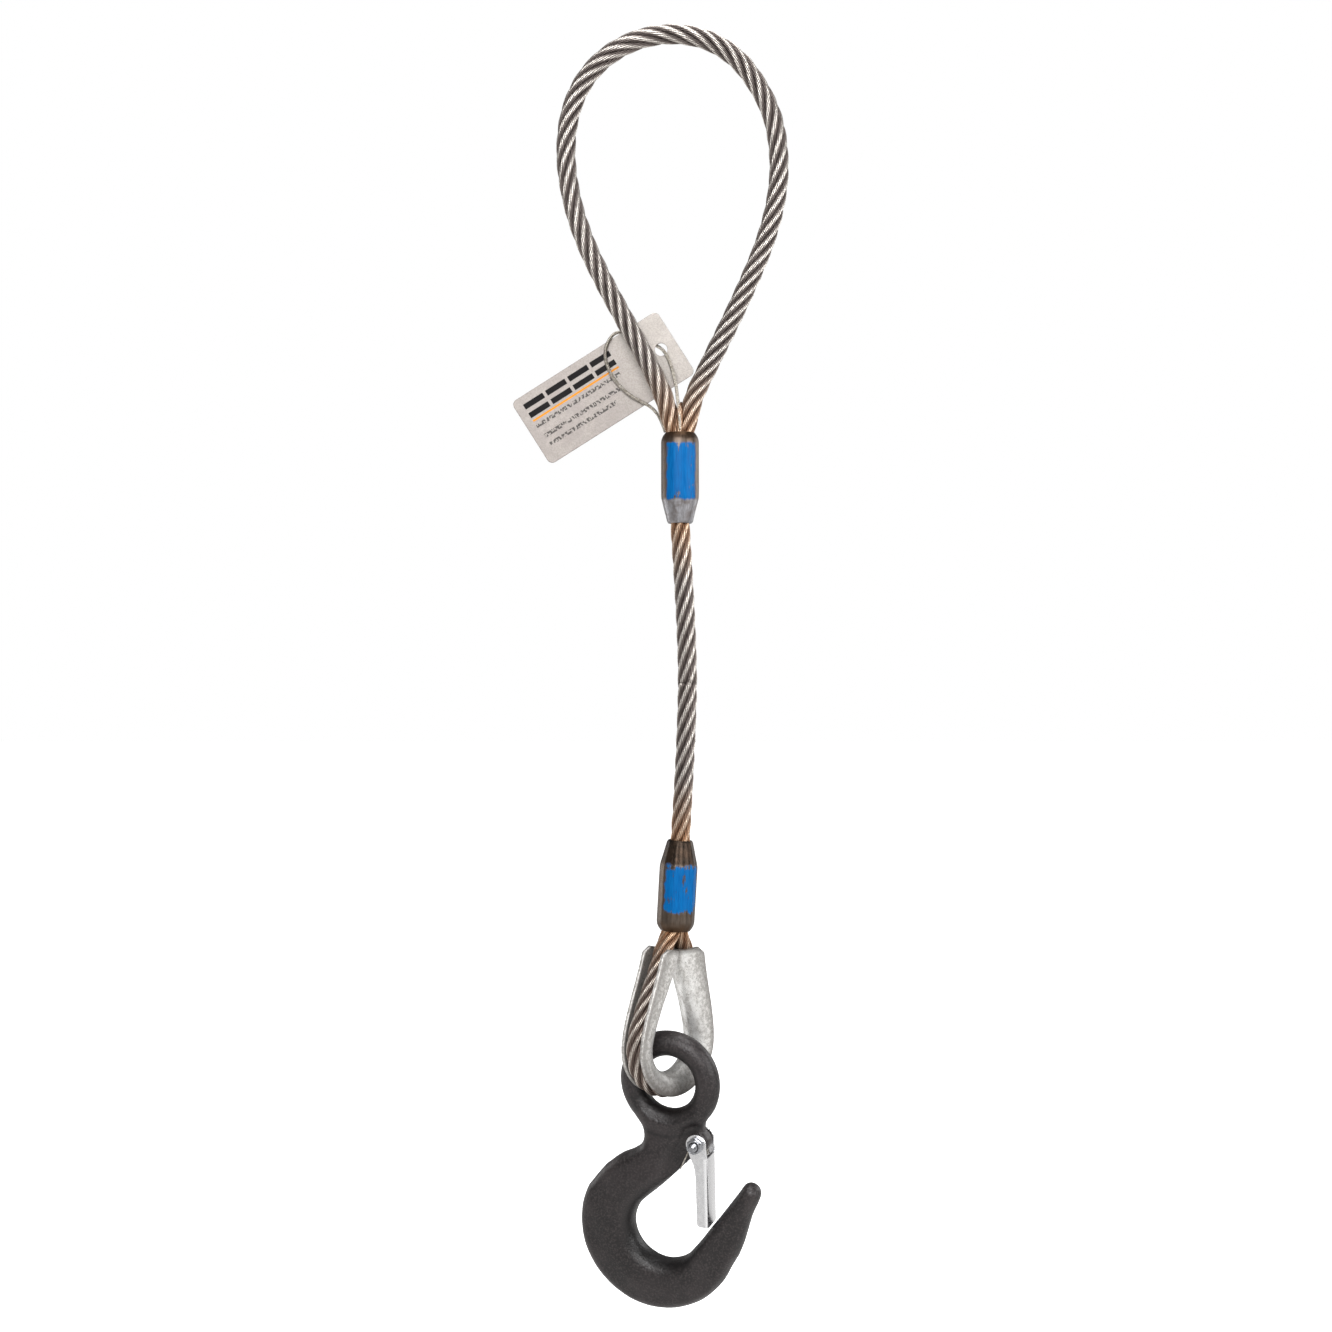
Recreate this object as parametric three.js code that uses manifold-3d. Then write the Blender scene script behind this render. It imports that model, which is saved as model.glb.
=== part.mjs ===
// Single-leg wire rope sling for 3/8 in rope: soft eye, rope body, thimble eye and latched eye hook.
// Millimetres, +Z up. Origin: the inside top of the soft eye, where the sling hangs.
import * as THREE from "three";
import { mergeVertices } from "three/addons/utils/BufferGeometryUtils.js";
import Module from "manifold-3d";

// ---------------------------------------------------------------- driving dimensions
const ROPE_R = 4.8; // 3/8 in rope, just inside the crowns of its strands
const CLEAR = 0.3; // gap between pieces that touch in the real sling
const THROUGH = [-100, 100]; // a cut that goes right through
const ROPE_SIDES = 10;

// Soft eye: route of the rope's centre, x and z, from the left leg in the sleeve to the right leg.
const SOFT_EYE_ROUTE = [
  [1.4, -207], [-0.5, -193], [-3.6, -178], [-12.6, -158], [-23.6, -138], [-34.4, -118],
  [-43.7, -98], [-50, -78], [-53, -55], [-50.6, -34], [-43.5, -18], [-32.5, -6.2],
  [-17, 2.1], [0, 4.9], [17, 2.1], [31.5, -6.6], [43, -21], [50.6, -38], [53.5, -59],
  [52, -78], [46.8, -98], [38.8, -118], [29.6, -138], [19.8, -158], [10.6, -178],
  [7.9, -193], [6.6, -207],
];
const EYE_SPLIT_X = 3.9; // plane between the two legs where they are pressed together
const EYE_SPLIT_TOP = -160; // the legs are well apart above this
const SPLIT_HALF = 0.2; // half the gap between two legs pressed together

// Rope body between the sleeves, x and z: it bows slightly to the right.
const BODY_ROUTE = [
  [4, -207], [4.1, -240], [5.5, -264], [7.1, -294], [7.7, -318], [7.2, -340],
  [5.8, -370], [4.1, -398], [2.4, -428],
];
const BEND_SIDE_Z = -279; // the rope bends side to side here
const BEND_FORE_Z = -357; // and fore and aft here
const SOCKET_R = 5.15; // the hollow end that the next length's round end turns in

// Swaged sleeves: one profile, turned over for the lower one.
const SLEEVE_R = 9.25;
const SLEEVE_LENGTH = 45.2;
const SLEEVE_MOUTH_R = 7.5;
const SLEEVE_MOUTH_LENGTH = 3.5;
const SLEEVE_TAPER_LENGTH = 12;
const SLEEVE_TAPER_R = 6;
const SLEEVE_BORE_R = 7;
const SLEEVE_LIP_R = 6.7; // bore at the mouth
const SLEEVE_NOSE = 4; // straight hole at the tapered end
const ROPE_HOLE_R = 5.2; // round the rope, inside the sleeve
const SPLICE_TOP = -13.5; // the tucked strands fill the sleeve from here down
const SPLICE_END = -36.5;
const SPLICE_TAPER_R = 5.8;
const PRESSED_R = 6.2; // the two legs pressed into the mouth
const LEG_LENGTH = 12; // how far the two legs of an eye run into the mouth
const UPPER_SLEEVE_TOP = [4, -194.5];
const LOWER_SLEEVE_TOP = [4.1, -398];
const LOWER_TILT = THREE.MathUtils.degToRad(3.3); // everything below leans this much to the left

// Thimble: teardrop of a round-backed channel.
const THIMBLE_BACK_R = 8; // half its width, and the round of its back
const THIMBLE_GROOVE_R = 5.3;
const THIMBLE_LIP = 7.2; // the lips before they are trimmed, past the rope's centre
const THIMBLE_TRIM_R = 25.55; // edge of the lips round the crown
// Right edge of the lips from the crown to the tip: out, z. They stand taller towards the tip.
const THIMBLE_TRIM = [[22.9, -484.6], [20.7, -476], [17.4, -464], [15.6, -456.5], [14.4, -452], [11.6, -449]];
const THIMBLE_CROWN_R = 22.25; // rope centre round the crown
const THIMBLE_CROWN_Z = -499.4;
const THIMBLE_MOUTH_Z = -443.4; // mouth of the sleeve above, along the thimble's own centre line
const THIMBLE_TURN = THREE.MathUtils.degToRad(45); // its plane, turned from the soft eye's
const THIMBLE_X = -1.9; // its centre line at the crown
// Right half of the rope's centre from the tip down to the round of the crown: out, z.
const THIMBLE_SIDE = [[7.4, -451.5], [8.4, -457], [11.6, -466], [16.2, -477.3], [19.3, -486]];

// Hook, in its own plane: x across, y up, from the centre of its eye.
const HOOK_EYE_CENTRE = [-0.9, 0, -518.9];
const HOOK_YAW = THREE.MathUtils.degToRad(21); // right side towards the front
const HOOK_PITCH = THREE.MathUtils.degToRad(6); // bottom away from the front
const HOOK_ROLL = THREE.MathUtils.degToRad(-3.3); // hanging a little to the left in its own plane
const EYE_BAR_CENTRE_R = 19.9;
const EYE_BAR_R = 6.2;
const BOWL_CENTRE = [-0.7, -75.2];
const BOWL_R = 18.4;
const BACK_CENTRE = [-4.5, -76.1];
const BACK_R = 41.1;
const TIP_CENTRE = [43.4, -51.2];
const TIP_R = 4.4;
const HOOK_THICKNESS = 17;
const HOOK_BEVEL = 3.6;
const BOLT_AT = [16.5, -28.1];
const LUG_R = 5;
const LUG_HALF = 3.9; // half thickness of the lug and of the rib below it
const NECK_HALF = [[-5, 6], [-24, 6.2], [-36, 7.4], [-50, 8.6], [-125, 8.6]]; // y, half thickness
const TIP_HALF = [[-60, 8.6], [12, 8.6], [26, 7], [52, 5]]; // x, half thickness
const RELIEF_R = 9; // hollow for the latch's ear
const FOLD_R = 6.2; // and round its fold, which is this far from the bolt
const FOLD_FROM_BOLT = [-8.6, -14.4];

// Latch, from the bolt: x across, y up.
const EAR_R = 5.2;
const EAR_INSIDE = 5.5; // from the middle plane to an ear's inner face
const SHEET = 1.2;
const BOLT_R = 2;
const BOLT_HOLE_R = 2.3;
const NUT_ACROSS = 7;
const NUT_THICK = 3.2;
const BOLT_END = 13;
const HEAD_R = 3.5;
const HEAD_THICK = 2.6;
const LATCH_END = -41.4;
const COIL_INSIDE_R = 2.4;
const COIL_OUTSIDE_R = 3.4;
const COIL_HALF = 0.55; // half the length of a coil
const WIRE_R = 0.45; // spring wire

// Tag and its cable.
const TAG_SIZE = [87, 37.2, 1];
const TAG_CORNER = 3;
const TAG_CENTRE = [-34.65, 10.3, -170.4];
const TAG_TILT = THREE.MathUtils.degToRad(32.4);
const TAG_HOLE_R = 3.2;
const TAG_HOLE_AT = [35, 0.7];
const CABLE_R = 0.8;
const CABLE_ROUTE = [
  [3.9, -4.2, -193.4], [3.8, -4.2, -188], [3.3, -2.9, -183], [2.8, -0.6, -177.5],
  [2.1, 2.2, -171], [0.7, 5, -164], [-1.3, 7.2, -157.5], [-3.7, 8.6, -152.6], [-5.6, 10.3, -150.4],
  [-8.2, 12, -148.6], [-13, 12.9, -146.2], [-19, 13, -143.6], [-24.5, 12.4, -142],
  [-28.6, 10.6, -142.8], [-31.4, 8.8, -146], [-33.3, 8.4, -150.5], [-33.6, 8.4, -155.5],
  [-32.2, 8.4, -160.5], [-29.4, 8.4, -166], [-25.6, 8.4, -170.6], [-21, 8.3, -174.4],
  [-15.6, 8, -177.6], [-10.6, 7.3, -180.6], [-7.2, 6.6, -184.4], [-4.9, 6, -189], [-3.4, 5.3, -193.3],
];

// ---------------------------------------------------------------- joining and cutting
const wasm = await Module();
wasm.setup();

function solid(geometry) {
  const bare = geometry.clone();
  bare.deleteAttribute("normal");
  bare.deleteAttribute("uv");
  const merged = mergeVertices(bare, 1e-4);
  return new wasm.Manifold(new wasm.Mesh({
    numProp: 3,
    vertProperties: new Float32Array(merged.attributes.position.array),
    triVerts: new Uint32Array(merged.index.array),
  }));
}

function geometryOf(body) {
  const mesh = body.getMesh();
  const geometry = new THREE.BufferGeometry();
  geometry.setAttribute("position", new THREE.BufferAttribute(new Float32Array(mesh.vertProperties), 3));
  geometry.setIndex(new THREE.BufferAttribute(new Uint32Array(mesh.triVerts), 1));
  return geometry;
}

// ---------------------------------------------------------------- shared shapes
function polygon(radius, sides) {
  const points = [];
  for (let i = 0; i < sides; i++) {
    const angle = (2 * Math.PI * (i + 0.5)) / sides;
    points.push(new THREE.Vector2(radius * Math.cos(angle), radius * Math.sin(angle)));
  }
  return new THREE.Shape(points);
}

function tube(points, radius, sides, steps) {
  const path = new THREE.CatmullRomCurve3(points, false, "centripetal");
  return new THREE.ExtrudeGeometry(polygon(radius, sides), { steps, bevelEnabled: false, extrudePath: path });
}

function box(x, y, z) {
  const size = [x, y, z].map(([low, high]) => high - low);
  const centre = [x, y, z].map(([low, high]) => (high + low) / 2);
  return new THREE.BoxGeometry(...size).translate(...centre);
}

function upright([x, z]) {
  return new THREE.Vector3(x, 0, z);
}

// A profile of [radius, z] points that closes on itself, turned about Z.
function turned(profile, segments) {
  const ring = profile.map(([r, z]) => new THREE.Vector2(r, z));
  return new THREE.LatheGeometry([...ring, ring[0].clone()], segments).rotateX(Math.PI / 2);
}

// A disc or a shaft about Z from low to high.
function rod(radius, low, high, segments) {
  return new THREE.CylinderGeometry(radius, radius, high - low, segments)
    .rotateX(Math.PI / 2).translate(0, 0, (low + high) / 2);
}

function arc([cx, cy], radius, from, to, segments) {
  const points = [];
  for (let i = 0; i <= segments; i++) {
    const angle = THREE.MathUtils.degToRad(from + ((to - from) * i) / segments);
    points.push([cx + radius * Math.cos(angle), cy + radius * Math.sin(angle)]);
  }
  return points;
}

function flat(points, holes = []) {
  const shape = new THREE.Shape(points.map(([x, y]) => new THREE.Vector2(x, y)));
  shape.holes = holes.map((hole) => new THREE.Path(hole.map(([x, y]) => new THREE.Vector2(x, y))));
  return shape;
}

function metal(color, roughness, metalness = 1) {
  return new THREE.MeshStandardMaterial({ color, roughness, metalness });
}

const STEEL_ROPE = metal(0x6f675f, 0.5);
const sling = new THREE.Group();

function add(group, name, geometry, material) {
  const mesh = new THREE.Mesh(geometry, material.clone());
  mesh.name = name;
  group.add(mesh);
  return mesh;
}

// ---------------------------------------------------------------- soft eye
function softEye() {
  const route = SOFT_EYE_ROUTE.map(upright);
  const top = SOFT_EYE_ROUTE.findIndex(([x]) => x === 0);
  const [x, mouth] = UPPER_SLEEVE_TOP;
  const gap = [EYE_SPLIT_X - SPLIT_HALF, EYE_SPLIT_X + SPLIT_HALF];
  const apart = solid(box(gap, THROUGH, [mouth - 2 * LEG_LENGTH, EYE_SPLIT_TOP]));
  const left = solid(tube(route.slice(0, top + 1), ROPE_R, ROPE_SIDES, 24)).subtract(apart);
  const right = solid(tube(route.slice(top), ROPE_R, ROPE_SIDES, 24)).subtract(apart);
  const inBore = solid(rod(PRESSED_R, mouth - LEG_LENGTH, mouth + 1, 20).translate(x, 0, 0));
  const above = solid(box(THROUGH, THROUGH, [mouth + CLEAR, THROUGH[1]]));
  return left.add(right).intersect(above.add(inBore));
}

add(sling, "soft_eye_rope", geometryOf(softEye()), STEEL_ROPE);

// ---------------------------------------------------------------- rope body, in three lengths
const bodyCentre = new THREE.CatmullRomCurve3(BODY_ROUTE.map(upright), false, "centripetal").getSpacedPoints(200);

// The rope's centre at a height.
function bodyAt(z) {
  const i = bodyCentre.findIndex((p) => p.z <= z);
  const [above, below] = [bodyCentre[i - 1], bodyCentre[i]];
  return above.clone().lerp(below, (above.z - z) / (above.z - below.z));
}

function bodyLength(fromZ, toZ, steps) {
  const between = bodyCentre.filter((p) => p.z < fromZ && p.z > toZ);
  const kept = between.filter((p, i) => i % 8 === 4); // enough points for so slow a bend
  return solid(tube([bodyAt(fromZ), ...kept, bodyAt(toZ)], ROPE_R, ROPE_SIDES, steps));
}

function ball(radius, z) {
  const { x } = bodyAt(z);
  return solid(new THREE.SphereGeometry(radius, 16, 12).rotateX(Math.PI / 2).translate(x, 0, z));
}

const bodyTop = BODY_ROUTE[0][1] - SPLIT_HALF / 2;
const bodyEnd = BODY_ROUTE.at(-1)[1] + 1;
add(sling, "rope_upper", geometryOf(
  bodyLength(bodyTop, BEND_SIDE_Z, 8).subtract(ball(SOCKET_R, BEND_SIDE_Z)),
), STEEL_ROPE);
add(sling, "rope_middle", geometryOf(
  bodyLength(BEND_SIDE_Z, BEND_FORE_Z, 9).add(ball(ROPE_R, BEND_SIDE_Z)).subtract(ball(SOCKET_R, BEND_FORE_Z)),
), STEEL_ROPE);
add(sling, "rope_lower", geometryOf(
  bodyLength(BEND_FORE_Z, bodyEnd, 8).add(ball(ROPE_R, BEND_FORE_Z)),
), STEEL_ROPE);

// ---------------------------------------------------------------- sleeves, mouth at z 0, taper downwards
const SLEEVE_PROFILE = [
  [SLEEVE_MOUTH_R, 0], [SLEEVE_LIP_R, 0], [SLEEVE_BORE_R, -SLEEVE_MOUTH_LENGTH],
  [SLEEVE_BORE_R, SLEEVE_TAPER_LENGTH - SLEEVE_LENGTH], [ROPE_HOLE_R, SLEEVE_NOSE - SLEEVE_LENGTH],
  [ROPE_HOLE_R, -SLEEVE_LENGTH], [SLEEVE_TAPER_R, -SLEEVE_LENGTH],
  [SLEEVE_R, SLEEVE_TAPER_LENGTH - SLEEVE_LENGTH], [SLEEVE_R, -SLEEVE_MOUTH_LENGTH],
];
const SPLICE_R = SLEEVE_BORE_R - CLEAR;
const SPLICE_PROFILE = [
  [ROPE_HOLE_R, SPLICE_TOP], [ROPE_HOLE_R, SPLICE_END], [SPLICE_TAPER_R, SPLICE_END],
  [SPLICE_R, SPLICE_END + 3], [SPLICE_R, SPLICE_TOP],
];
const SLEEVE_STEEL = metal(0x2f6fb4, 0.55, 0.3);

function sleeve(group, which) {
  add(group, `${which}_sleeve`, geometryOf(solid(turned(SLEEVE_PROFILE, 20))), SLEEVE_STEEL);
  add(group, `${which}_splice`, geometryOf(solid(turned(SPLICE_PROFILE, 16))), STEEL_ROPE);
}

const upperFitting = new THREE.Group();
upperFitting.position.set(UPPER_SLEEVE_TOP[0], 0, UPPER_SLEEVE_TOP[1]);
sleeve(upperFitting, "upper");
sling.add(upperFitting);

// The lower sleeve is turned over, so its mouth is at the bottom.
const lowerFitting = new THREE.Group();
lowerFitting.position.set(LOWER_SLEEVE_TOP[0], 0, LOWER_SLEEVE_TOP[1]);
lowerFitting.rotation.y = LOWER_TILT;
const turnedOver = new THREE.Group();
turnedOver.position.z = -SLEEVE_LENGTH;
turnedOver.rotation.x = Math.PI;
sleeve(turnedOver, "lower");
lowerFitting.add(turnedOver);
sling.add(lowerFitting);

// ---------------------------------------------------------------- thimble eye, in its own plane
// Half of the teardrop that the rope's centre follows, from the middle of the crown up to the tip.
function teardropHalf(side) {
  const crown = arc([0, THIMBLE_CROWN_Z], THIMBLE_CROWN_R, -90, 14, 8);
  return [...crown, ...[...THIMBLE_SIDE].reverse()].map(([out, z]) => upright([side * out, z]));
}

function teardropWhole() {
  return [...teardropHalf(-1).reverse(), ...teardropHalf(1).slice(1)];
}

function channelSection() {
  const back = arc([0, 0], THIMBLE_BACK_R, 0, -180, 8);
  const groove = arc([0, 0], THIMBLE_GROOVE_R, -180, 0, 8);
  const outline = [
    [THIMBLE_BACK_R, THIMBLE_LIP], ...back, [-THIMBLE_BACK_R, THIMBLE_LIP],
    [-THIMBLE_GROOVE_R, THIMBLE_LIP], ...groove, [THIMBLE_GROOVE_R, THIMBLE_LIP],
  ];
  return flat(outline);
}

function thimble() {
  const path = new THREE.CatmullRomCurve3(teardropWhole(), false, "centripetal");
  const channel = new THREE.ExtrudeGeometry(channelSection(), {
    steps: 44, bevelEnabled: false, extrudePath: path,
  });
  const right = [...arc([0, THIMBLE_CROWN_Z], THIMBLE_TRIM_R, -90, 14, 12), ...THIMBLE_TRIM];
  const left = right.slice(1).reverse().map(([out, z]) => [-out, z]);
  const trimmed = new THREE.ExtrudeGeometry(flat([...right, ...left]), {
    depth: THROUGH[1] - THROUGH[0], bevelEnabled: false,
  }).translate(0, 0, THROUGH[0]).rotateX(Math.PI / 2);
  return solid(channel).intersect(solid(trimmed));
}

function thimbleRope() {
  const mouth = [[2.9, THIMBLE_MOUTH_Z], [2.6, THIMBLE_MOUTH_Z + LEG_LENGTH]].map(upright);
  const half = (side) => {
    const legs = mouth.map((p) => new THREE.Vector3(side * p.x, 0, p.z));
    return solid(tube([...teardropHalf(side), ...legs], ROPE_R, ROPE_SIDES, 26));
  };
  const apart = solid(box([-SPLIT_HALF, SPLIT_HALF], THROUGH, [THIMBLE_SIDE[1][1] - 2, THROUGH[1]]));
  const inBore = solid(rod(PRESSED_R, THIMBLE_MOUTH_Z - 1, THIMBLE_MOUTH_Z + LEG_LENGTH, 20));
  const below = solid(box(THROUGH, THROUGH, [THIMBLE_CROWN_Z + THROUGH[0], THIMBLE_MOUTH_Z]));
  return half(-1).subtract(apart).add(half(1).subtract(apart)).intersect(below.add(inBore));
}

const thimbleEye = new THREE.Group();
thimbleEye.position.set(THIMBLE_X, 0, THIMBLE_CROWN_Z);
thimbleEye.rotation.set(0, LOWER_TILT, 0);
const thimblePlane = new THREE.Group();
thimblePlane.rotation.z = THIMBLE_TURN;
thimbleEye.add(thimblePlane);
sling.add(thimbleEye);
const toCrown = [0, 0, -THIMBLE_CROWN_Z];
add(thimblePlane, "thimble", geometryOf(thimble().translate(toCrown)), metal(0xa9a9a6, 0.45));
add(thimblePlane, "thimble_rope", geometryOf(thimbleRope().translate(toCrown)), STEEL_ROPE);

// ---------------------------------------------------------------- hook, in its own plane
function hookOutline() {
  const [bx, by] = BOLT_AT;
  const neckLeft = [
    [-33, -47.6], [-26, -41.9], [-19, -37.9], [-14.2, -34], [-12.4, -30], [-12.6, -26], [-15.7, -19],
  ];
  const tipBack = [[46.6, -55.4], [44.1, -61.1], [42.1, -67.8], [40, -76.2], [37.4, -83.8]];
  return [
    [18.6, -13], [18.6, -22.5], ...arc([bx, by], LUG_R, 35, -80, 6),
    [13.4, -36.1],
    ...arc(BOWL_CENTRE, BOWL_R, 134.5, 262, 11), ...arc(BOWL_CENTRE, BOWL_R, 278, 318, 4),
    ...arc(TIP_CENTRE, TIP_R, 126, -20, 6),
    ...tipBack,
    ...arc(BACK_CENTRE, BACK_R, -25, -204, 19),
    ...neckLeft,
  ];
}

// Half thickness along the hook's height, thin at the neck, as a solid that the plate is cut to.
function neckGauge() {
  const outline = [...NECK_HALF.map(([y, c]) => [c, y]), ...NECK_HALF.map(([y, c]) => [-c, y]).reverse()];
  return new THREE.ExtrudeGeometry(flat(outline), { depth: 120, bevelEnabled: false })
    .rotateY(Math.PI / 2).translate(-60, 0, 0);
}

// Half thickness across the hook, thin at the tip.
function tipGauge() {
  const outline = [...TIP_HALF, ...TIP_HALF.map(([x, c]) => [x, -c]).reverse()];
  return new THREE.ExtrudeGeometry(flat(outline), { depth: 130, bevelEnabled: false })
    .rotateX(-Math.PI / 2).translate(0, -130, 0);
}

// Relief on both sides of the lug and the rib below it, which the latch's sides fold over.
function latchRelief() {
  const [bx, by] = BOLT_AT;
  const fold = arc([bx + FOLD_FROM_BOLT[0], by + FOLD_FROM_BOLT[1]], FOLD_R, 145, 325, 8);
  const outline = [...arc([bx, by], RELIEF_R, -35, 145, 10), ...fold];
  return new THREE.ExtrudeGeometry(flat(outline), { depth: HOOK_THICKNESS, bevelEnabled: false });
}

function hook() {
  const plate = new THREE.ExtrudeGeometry(flat(hookOutline()), {
    depth: HOOK_THICKNESS - 2 * HOOK_BEVEL, bevelEnabled: true, bevelThickness: HOOK_BEVEL,
    bevelSize: HOOK_BEVEL, bevelOffset: -HOOK_BEVEL, bevelSegments: 2,
  }).translate(0, 0, HOOK_BEVEL - HOOK_THICKNESS / 2);
  const body = solid(plate).intersect(solid(neckGauge())).intersect(solid(tipGauge()));
  const lug = solid(rod(LUG_R, -LUG_HALF, LUG_HALF, 20).translate(...BOLT_AT, 0));
  const eye = solid(new THREE.TorusGeometry(EYE_BAR_CENTRE_R, EYE_BAR_R, 10, 36));
  const near = solid(latchRelief().translate(0, 0, LUG_HALF));
  const far = solid(latchRelief().translate(0, 0, -LUG_HALF - HOOK_THICKNESS));
  const hole = solid(rod(BOLT_HOLE_R, -HOOK_THICKNESS, HOOK_THICKNESS, 12).translate(...BOLT_AT, 0));
  return body.add(lug).subtract(near).subtract(far).add(eye).subtract(hole);
}

const hookFrame = new THREE.Group();
hookFrame.position.set(...HOOK_EYE_CENTRE);
hookFrame.rotation.z = -HOOK_YAW;
const hookUpright = new THREE.Group();
hookUpright.rotation.x = Math.PI / 2 + HOOK_PITCH;
const hookPlane = new THREE.Group();
hookPlane.rotation.z = HOOK_ROLL;
hookFrame.add(hookUpright);
hookUpright.add(hookPlane);
sling.add(hookFrame);
add(hookPlane, "hook", geometryOf(hook()), metal(0x2b2727, 0.75, 0.4));

// ---------------------------------------------------------------- latch, from its bolt
const ZINC = metal(0xc9ccd2, 0.25);

function latch() {
  const side = [
    ...arc([0, 0], EAR_R, 15, 215, 12), [-2.6, -8.5], [-0.6, -15], [0.4, -22], [2.1, LATCH_END + 2.2],
    [3.2, LATCH_END + 0.3], [7.2, LATCH_END],
  ];
  const hole = arc([0, 0], BOLT_HOLE_R, 0, -330, 11);
  const cheek = new THREE.ExtrudeGeometry(flat(side, [hole]), { depth: SHEET, bevelEnabled: false });
  const web = flat([[4.55, -6], [7.2, LATCH_END], [5.95, LATCH_END], [3.3, -6]]);
  const width = 2 * (EAR_INSIDE + SHEET);
  const back = new THREE.ExtrudeGeometry(web, { depth: width, bevelEnabled: false });
  return solid(cheek.clone().translate(0, 0, EAR_INSIDE))
    .add(solid(cheek.translate(0, 0, -EAR_INSIDE - SHEET))).add(solid(back.translate(0, 0, -width / 2)));
}

const OUTSIDE_EARS = EAR_INSIDE + SHEET + CLEAR;

function bolt() {
  const head = rod(HEAD_R, -OUTSIDE_EARS - HEAD_THICK, -OUTSIDE_EARS, 6);
  const shank = rod(BOLT_R, -OUTSIDE_EARS - HEAD_THICK / 2, BOLT_END, 12);
  return solid(head).add(solid(shank));
}

function nut() {
  const corner = NUT_ACROSS / Math.sqrt(3);
  const bore = rod(BOLT_R + CLEAR, OUTSIDE_EARS - 1, OUTSIDE_EARS + NUT_THICK + 1, 12);
  return solid(rod(corner, OUTSIDE_EARS, OUTSIDE_EARS + NUT_THICK, 6)).subtract(solid(bore));
}

// Torsion spring: a coil each side of the lug, a foot on the hook's throat and a loop under the latch.
function spring() {
  const middle = (LUG_HALF + EAR_INSIDE) / 2;
  const coil = turned([
    [COIL_INSIDE_R, -COIL_HALF], [COIL_OUTSIDE_R, -COIL_HALF],
    [COIL_OUTSIDE_R, COIL_HALF], [COIL_INSIDE_R, COIL_HALF],
  ], 16);
  const foot = [[-2.9, 0, middle], [-4.6, -5, middle], [-8.4, -13.8, middle]];
  const loop = [[2.9, 0, 1], [2.9, -3.5, 1], [2.6, -8.6, 0.9], [2.5, -9, 0]];
  const place = ([x, y, z]) => new THREE.Vector3(x, y, z);
  const reach = loop.map(([x, y, z]) => place([x, y, z * middle]));
  const back = loop.slice(0, -1).reverse().map(([x, y, z]) => place([x, y, -z * middle]));
  let wire = solid(tube([...reach, ...back], WIRE_R, 8, 14));
  for (const side of [-1, 1]) {
    wire = wire.add(solid(coil.clone().translate(0, 0, side * middle)));
    wire = wire.add(solid(tube(foot.map(([x, y, z]) => place([x, y, side * z])), WIRE_R, 8, 4)));
  }
  return wire;
}

const latchPivot = new THREE.Group();
latchPivot.position.set(...BOLT_AT, 0);
hookPlane.add(latchPivot);
add(latchPivot, "latch", geometryOf(latch()), ZINC);
add(latchPivot, "latch_bolt", geometryOf(bolt()), ZINC);
add(latchPivot, "latch_nut", geometryOf(nut()), ZINC);
add(latchPivot, "latch_spring", geometryOf(spring()), ZINC);

// ---------------------------------------------------------------- tag and its cable
function tag() {
  const [length, height, thickness] = TAG_SIZE;
  const x = length / 2 - TAG_CORNER;
  const y = height / 2 - TAG_CORNER;
  const outline = [
    ...arc([x, y], TAG_CORNER, 0, 90, 4), ...arc([-x, y], TAG_CORNER, 90, 180, 4),
    ...arc([-x, -y], TAG_CORNER, 180, 270, 4), ...arc([x, -y], TAG_CORNER, 270, 360, 4),
  ];
  const hole = arc(TAG_HOLE_AT, TAG_HOLE_R, 0, -345, 15);
  return new THREE.ExtrudeGeometry(flat(outline, [hole]), { depth: thickness, bevelEnabled: false })
    .translate(0, 0, -thickness / 2).rotateX(Math.PI / 2);
}

const tagFrame = new THREE.Group();
tagFrame.position.set(...TAG_CENTRE);
tagFrame.rotation.y = -TAG_TILT;
sling.add(tagFrame);
add(tagFrame, "id_tag", tag(), metal(0xb5b0aa, 0.4));
const cableRoute = CABLE_ROUTE.map(([x, y, z]) => new THREE.Vector3(x, y, z));
add(sling, "tag_lanyard", tube(cableRoute, CABLE_R, 8, 60), metal(0x9b968f, 0.4));

export default sling;
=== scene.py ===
"""Looks of a hanging single-leg wire rope sling: laid rope, swaged sleeves, thimble, forged hook,
spring latch and identity tag. Sizes are written in millimetres and turn to metres as a mesh is made."""

import functools
import math

import bpy
import numpy as np
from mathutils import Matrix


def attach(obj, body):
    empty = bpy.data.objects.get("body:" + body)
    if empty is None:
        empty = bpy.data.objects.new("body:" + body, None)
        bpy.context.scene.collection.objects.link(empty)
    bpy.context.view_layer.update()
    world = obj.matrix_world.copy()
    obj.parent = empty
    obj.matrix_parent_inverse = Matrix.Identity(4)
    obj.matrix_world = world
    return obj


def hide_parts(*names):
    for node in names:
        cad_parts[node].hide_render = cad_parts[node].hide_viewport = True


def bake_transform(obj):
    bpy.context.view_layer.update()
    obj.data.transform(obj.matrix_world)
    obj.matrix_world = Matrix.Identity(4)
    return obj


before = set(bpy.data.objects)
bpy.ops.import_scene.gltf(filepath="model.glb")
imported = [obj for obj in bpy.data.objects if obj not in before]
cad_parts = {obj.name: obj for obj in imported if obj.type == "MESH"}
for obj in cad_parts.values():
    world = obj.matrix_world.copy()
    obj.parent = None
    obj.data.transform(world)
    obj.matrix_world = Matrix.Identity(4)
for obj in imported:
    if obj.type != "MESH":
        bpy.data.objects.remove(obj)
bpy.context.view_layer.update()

MM = 0.001

# ---------------------------------------------------------------- camera
camera = bpy.data.objects.new("camera", bpy.data.cameras.new("camera"))
camera.data.lens = 50
camera.data.sensor_width = 36
camera.location = (-0.003, -0.925, -0.311)
camera.rotation_euler = (math.pi / 2, 0, 0)
bpy.context.scene.collection.objects.link(camera)
bpy.context.scene.camera = camera


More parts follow.
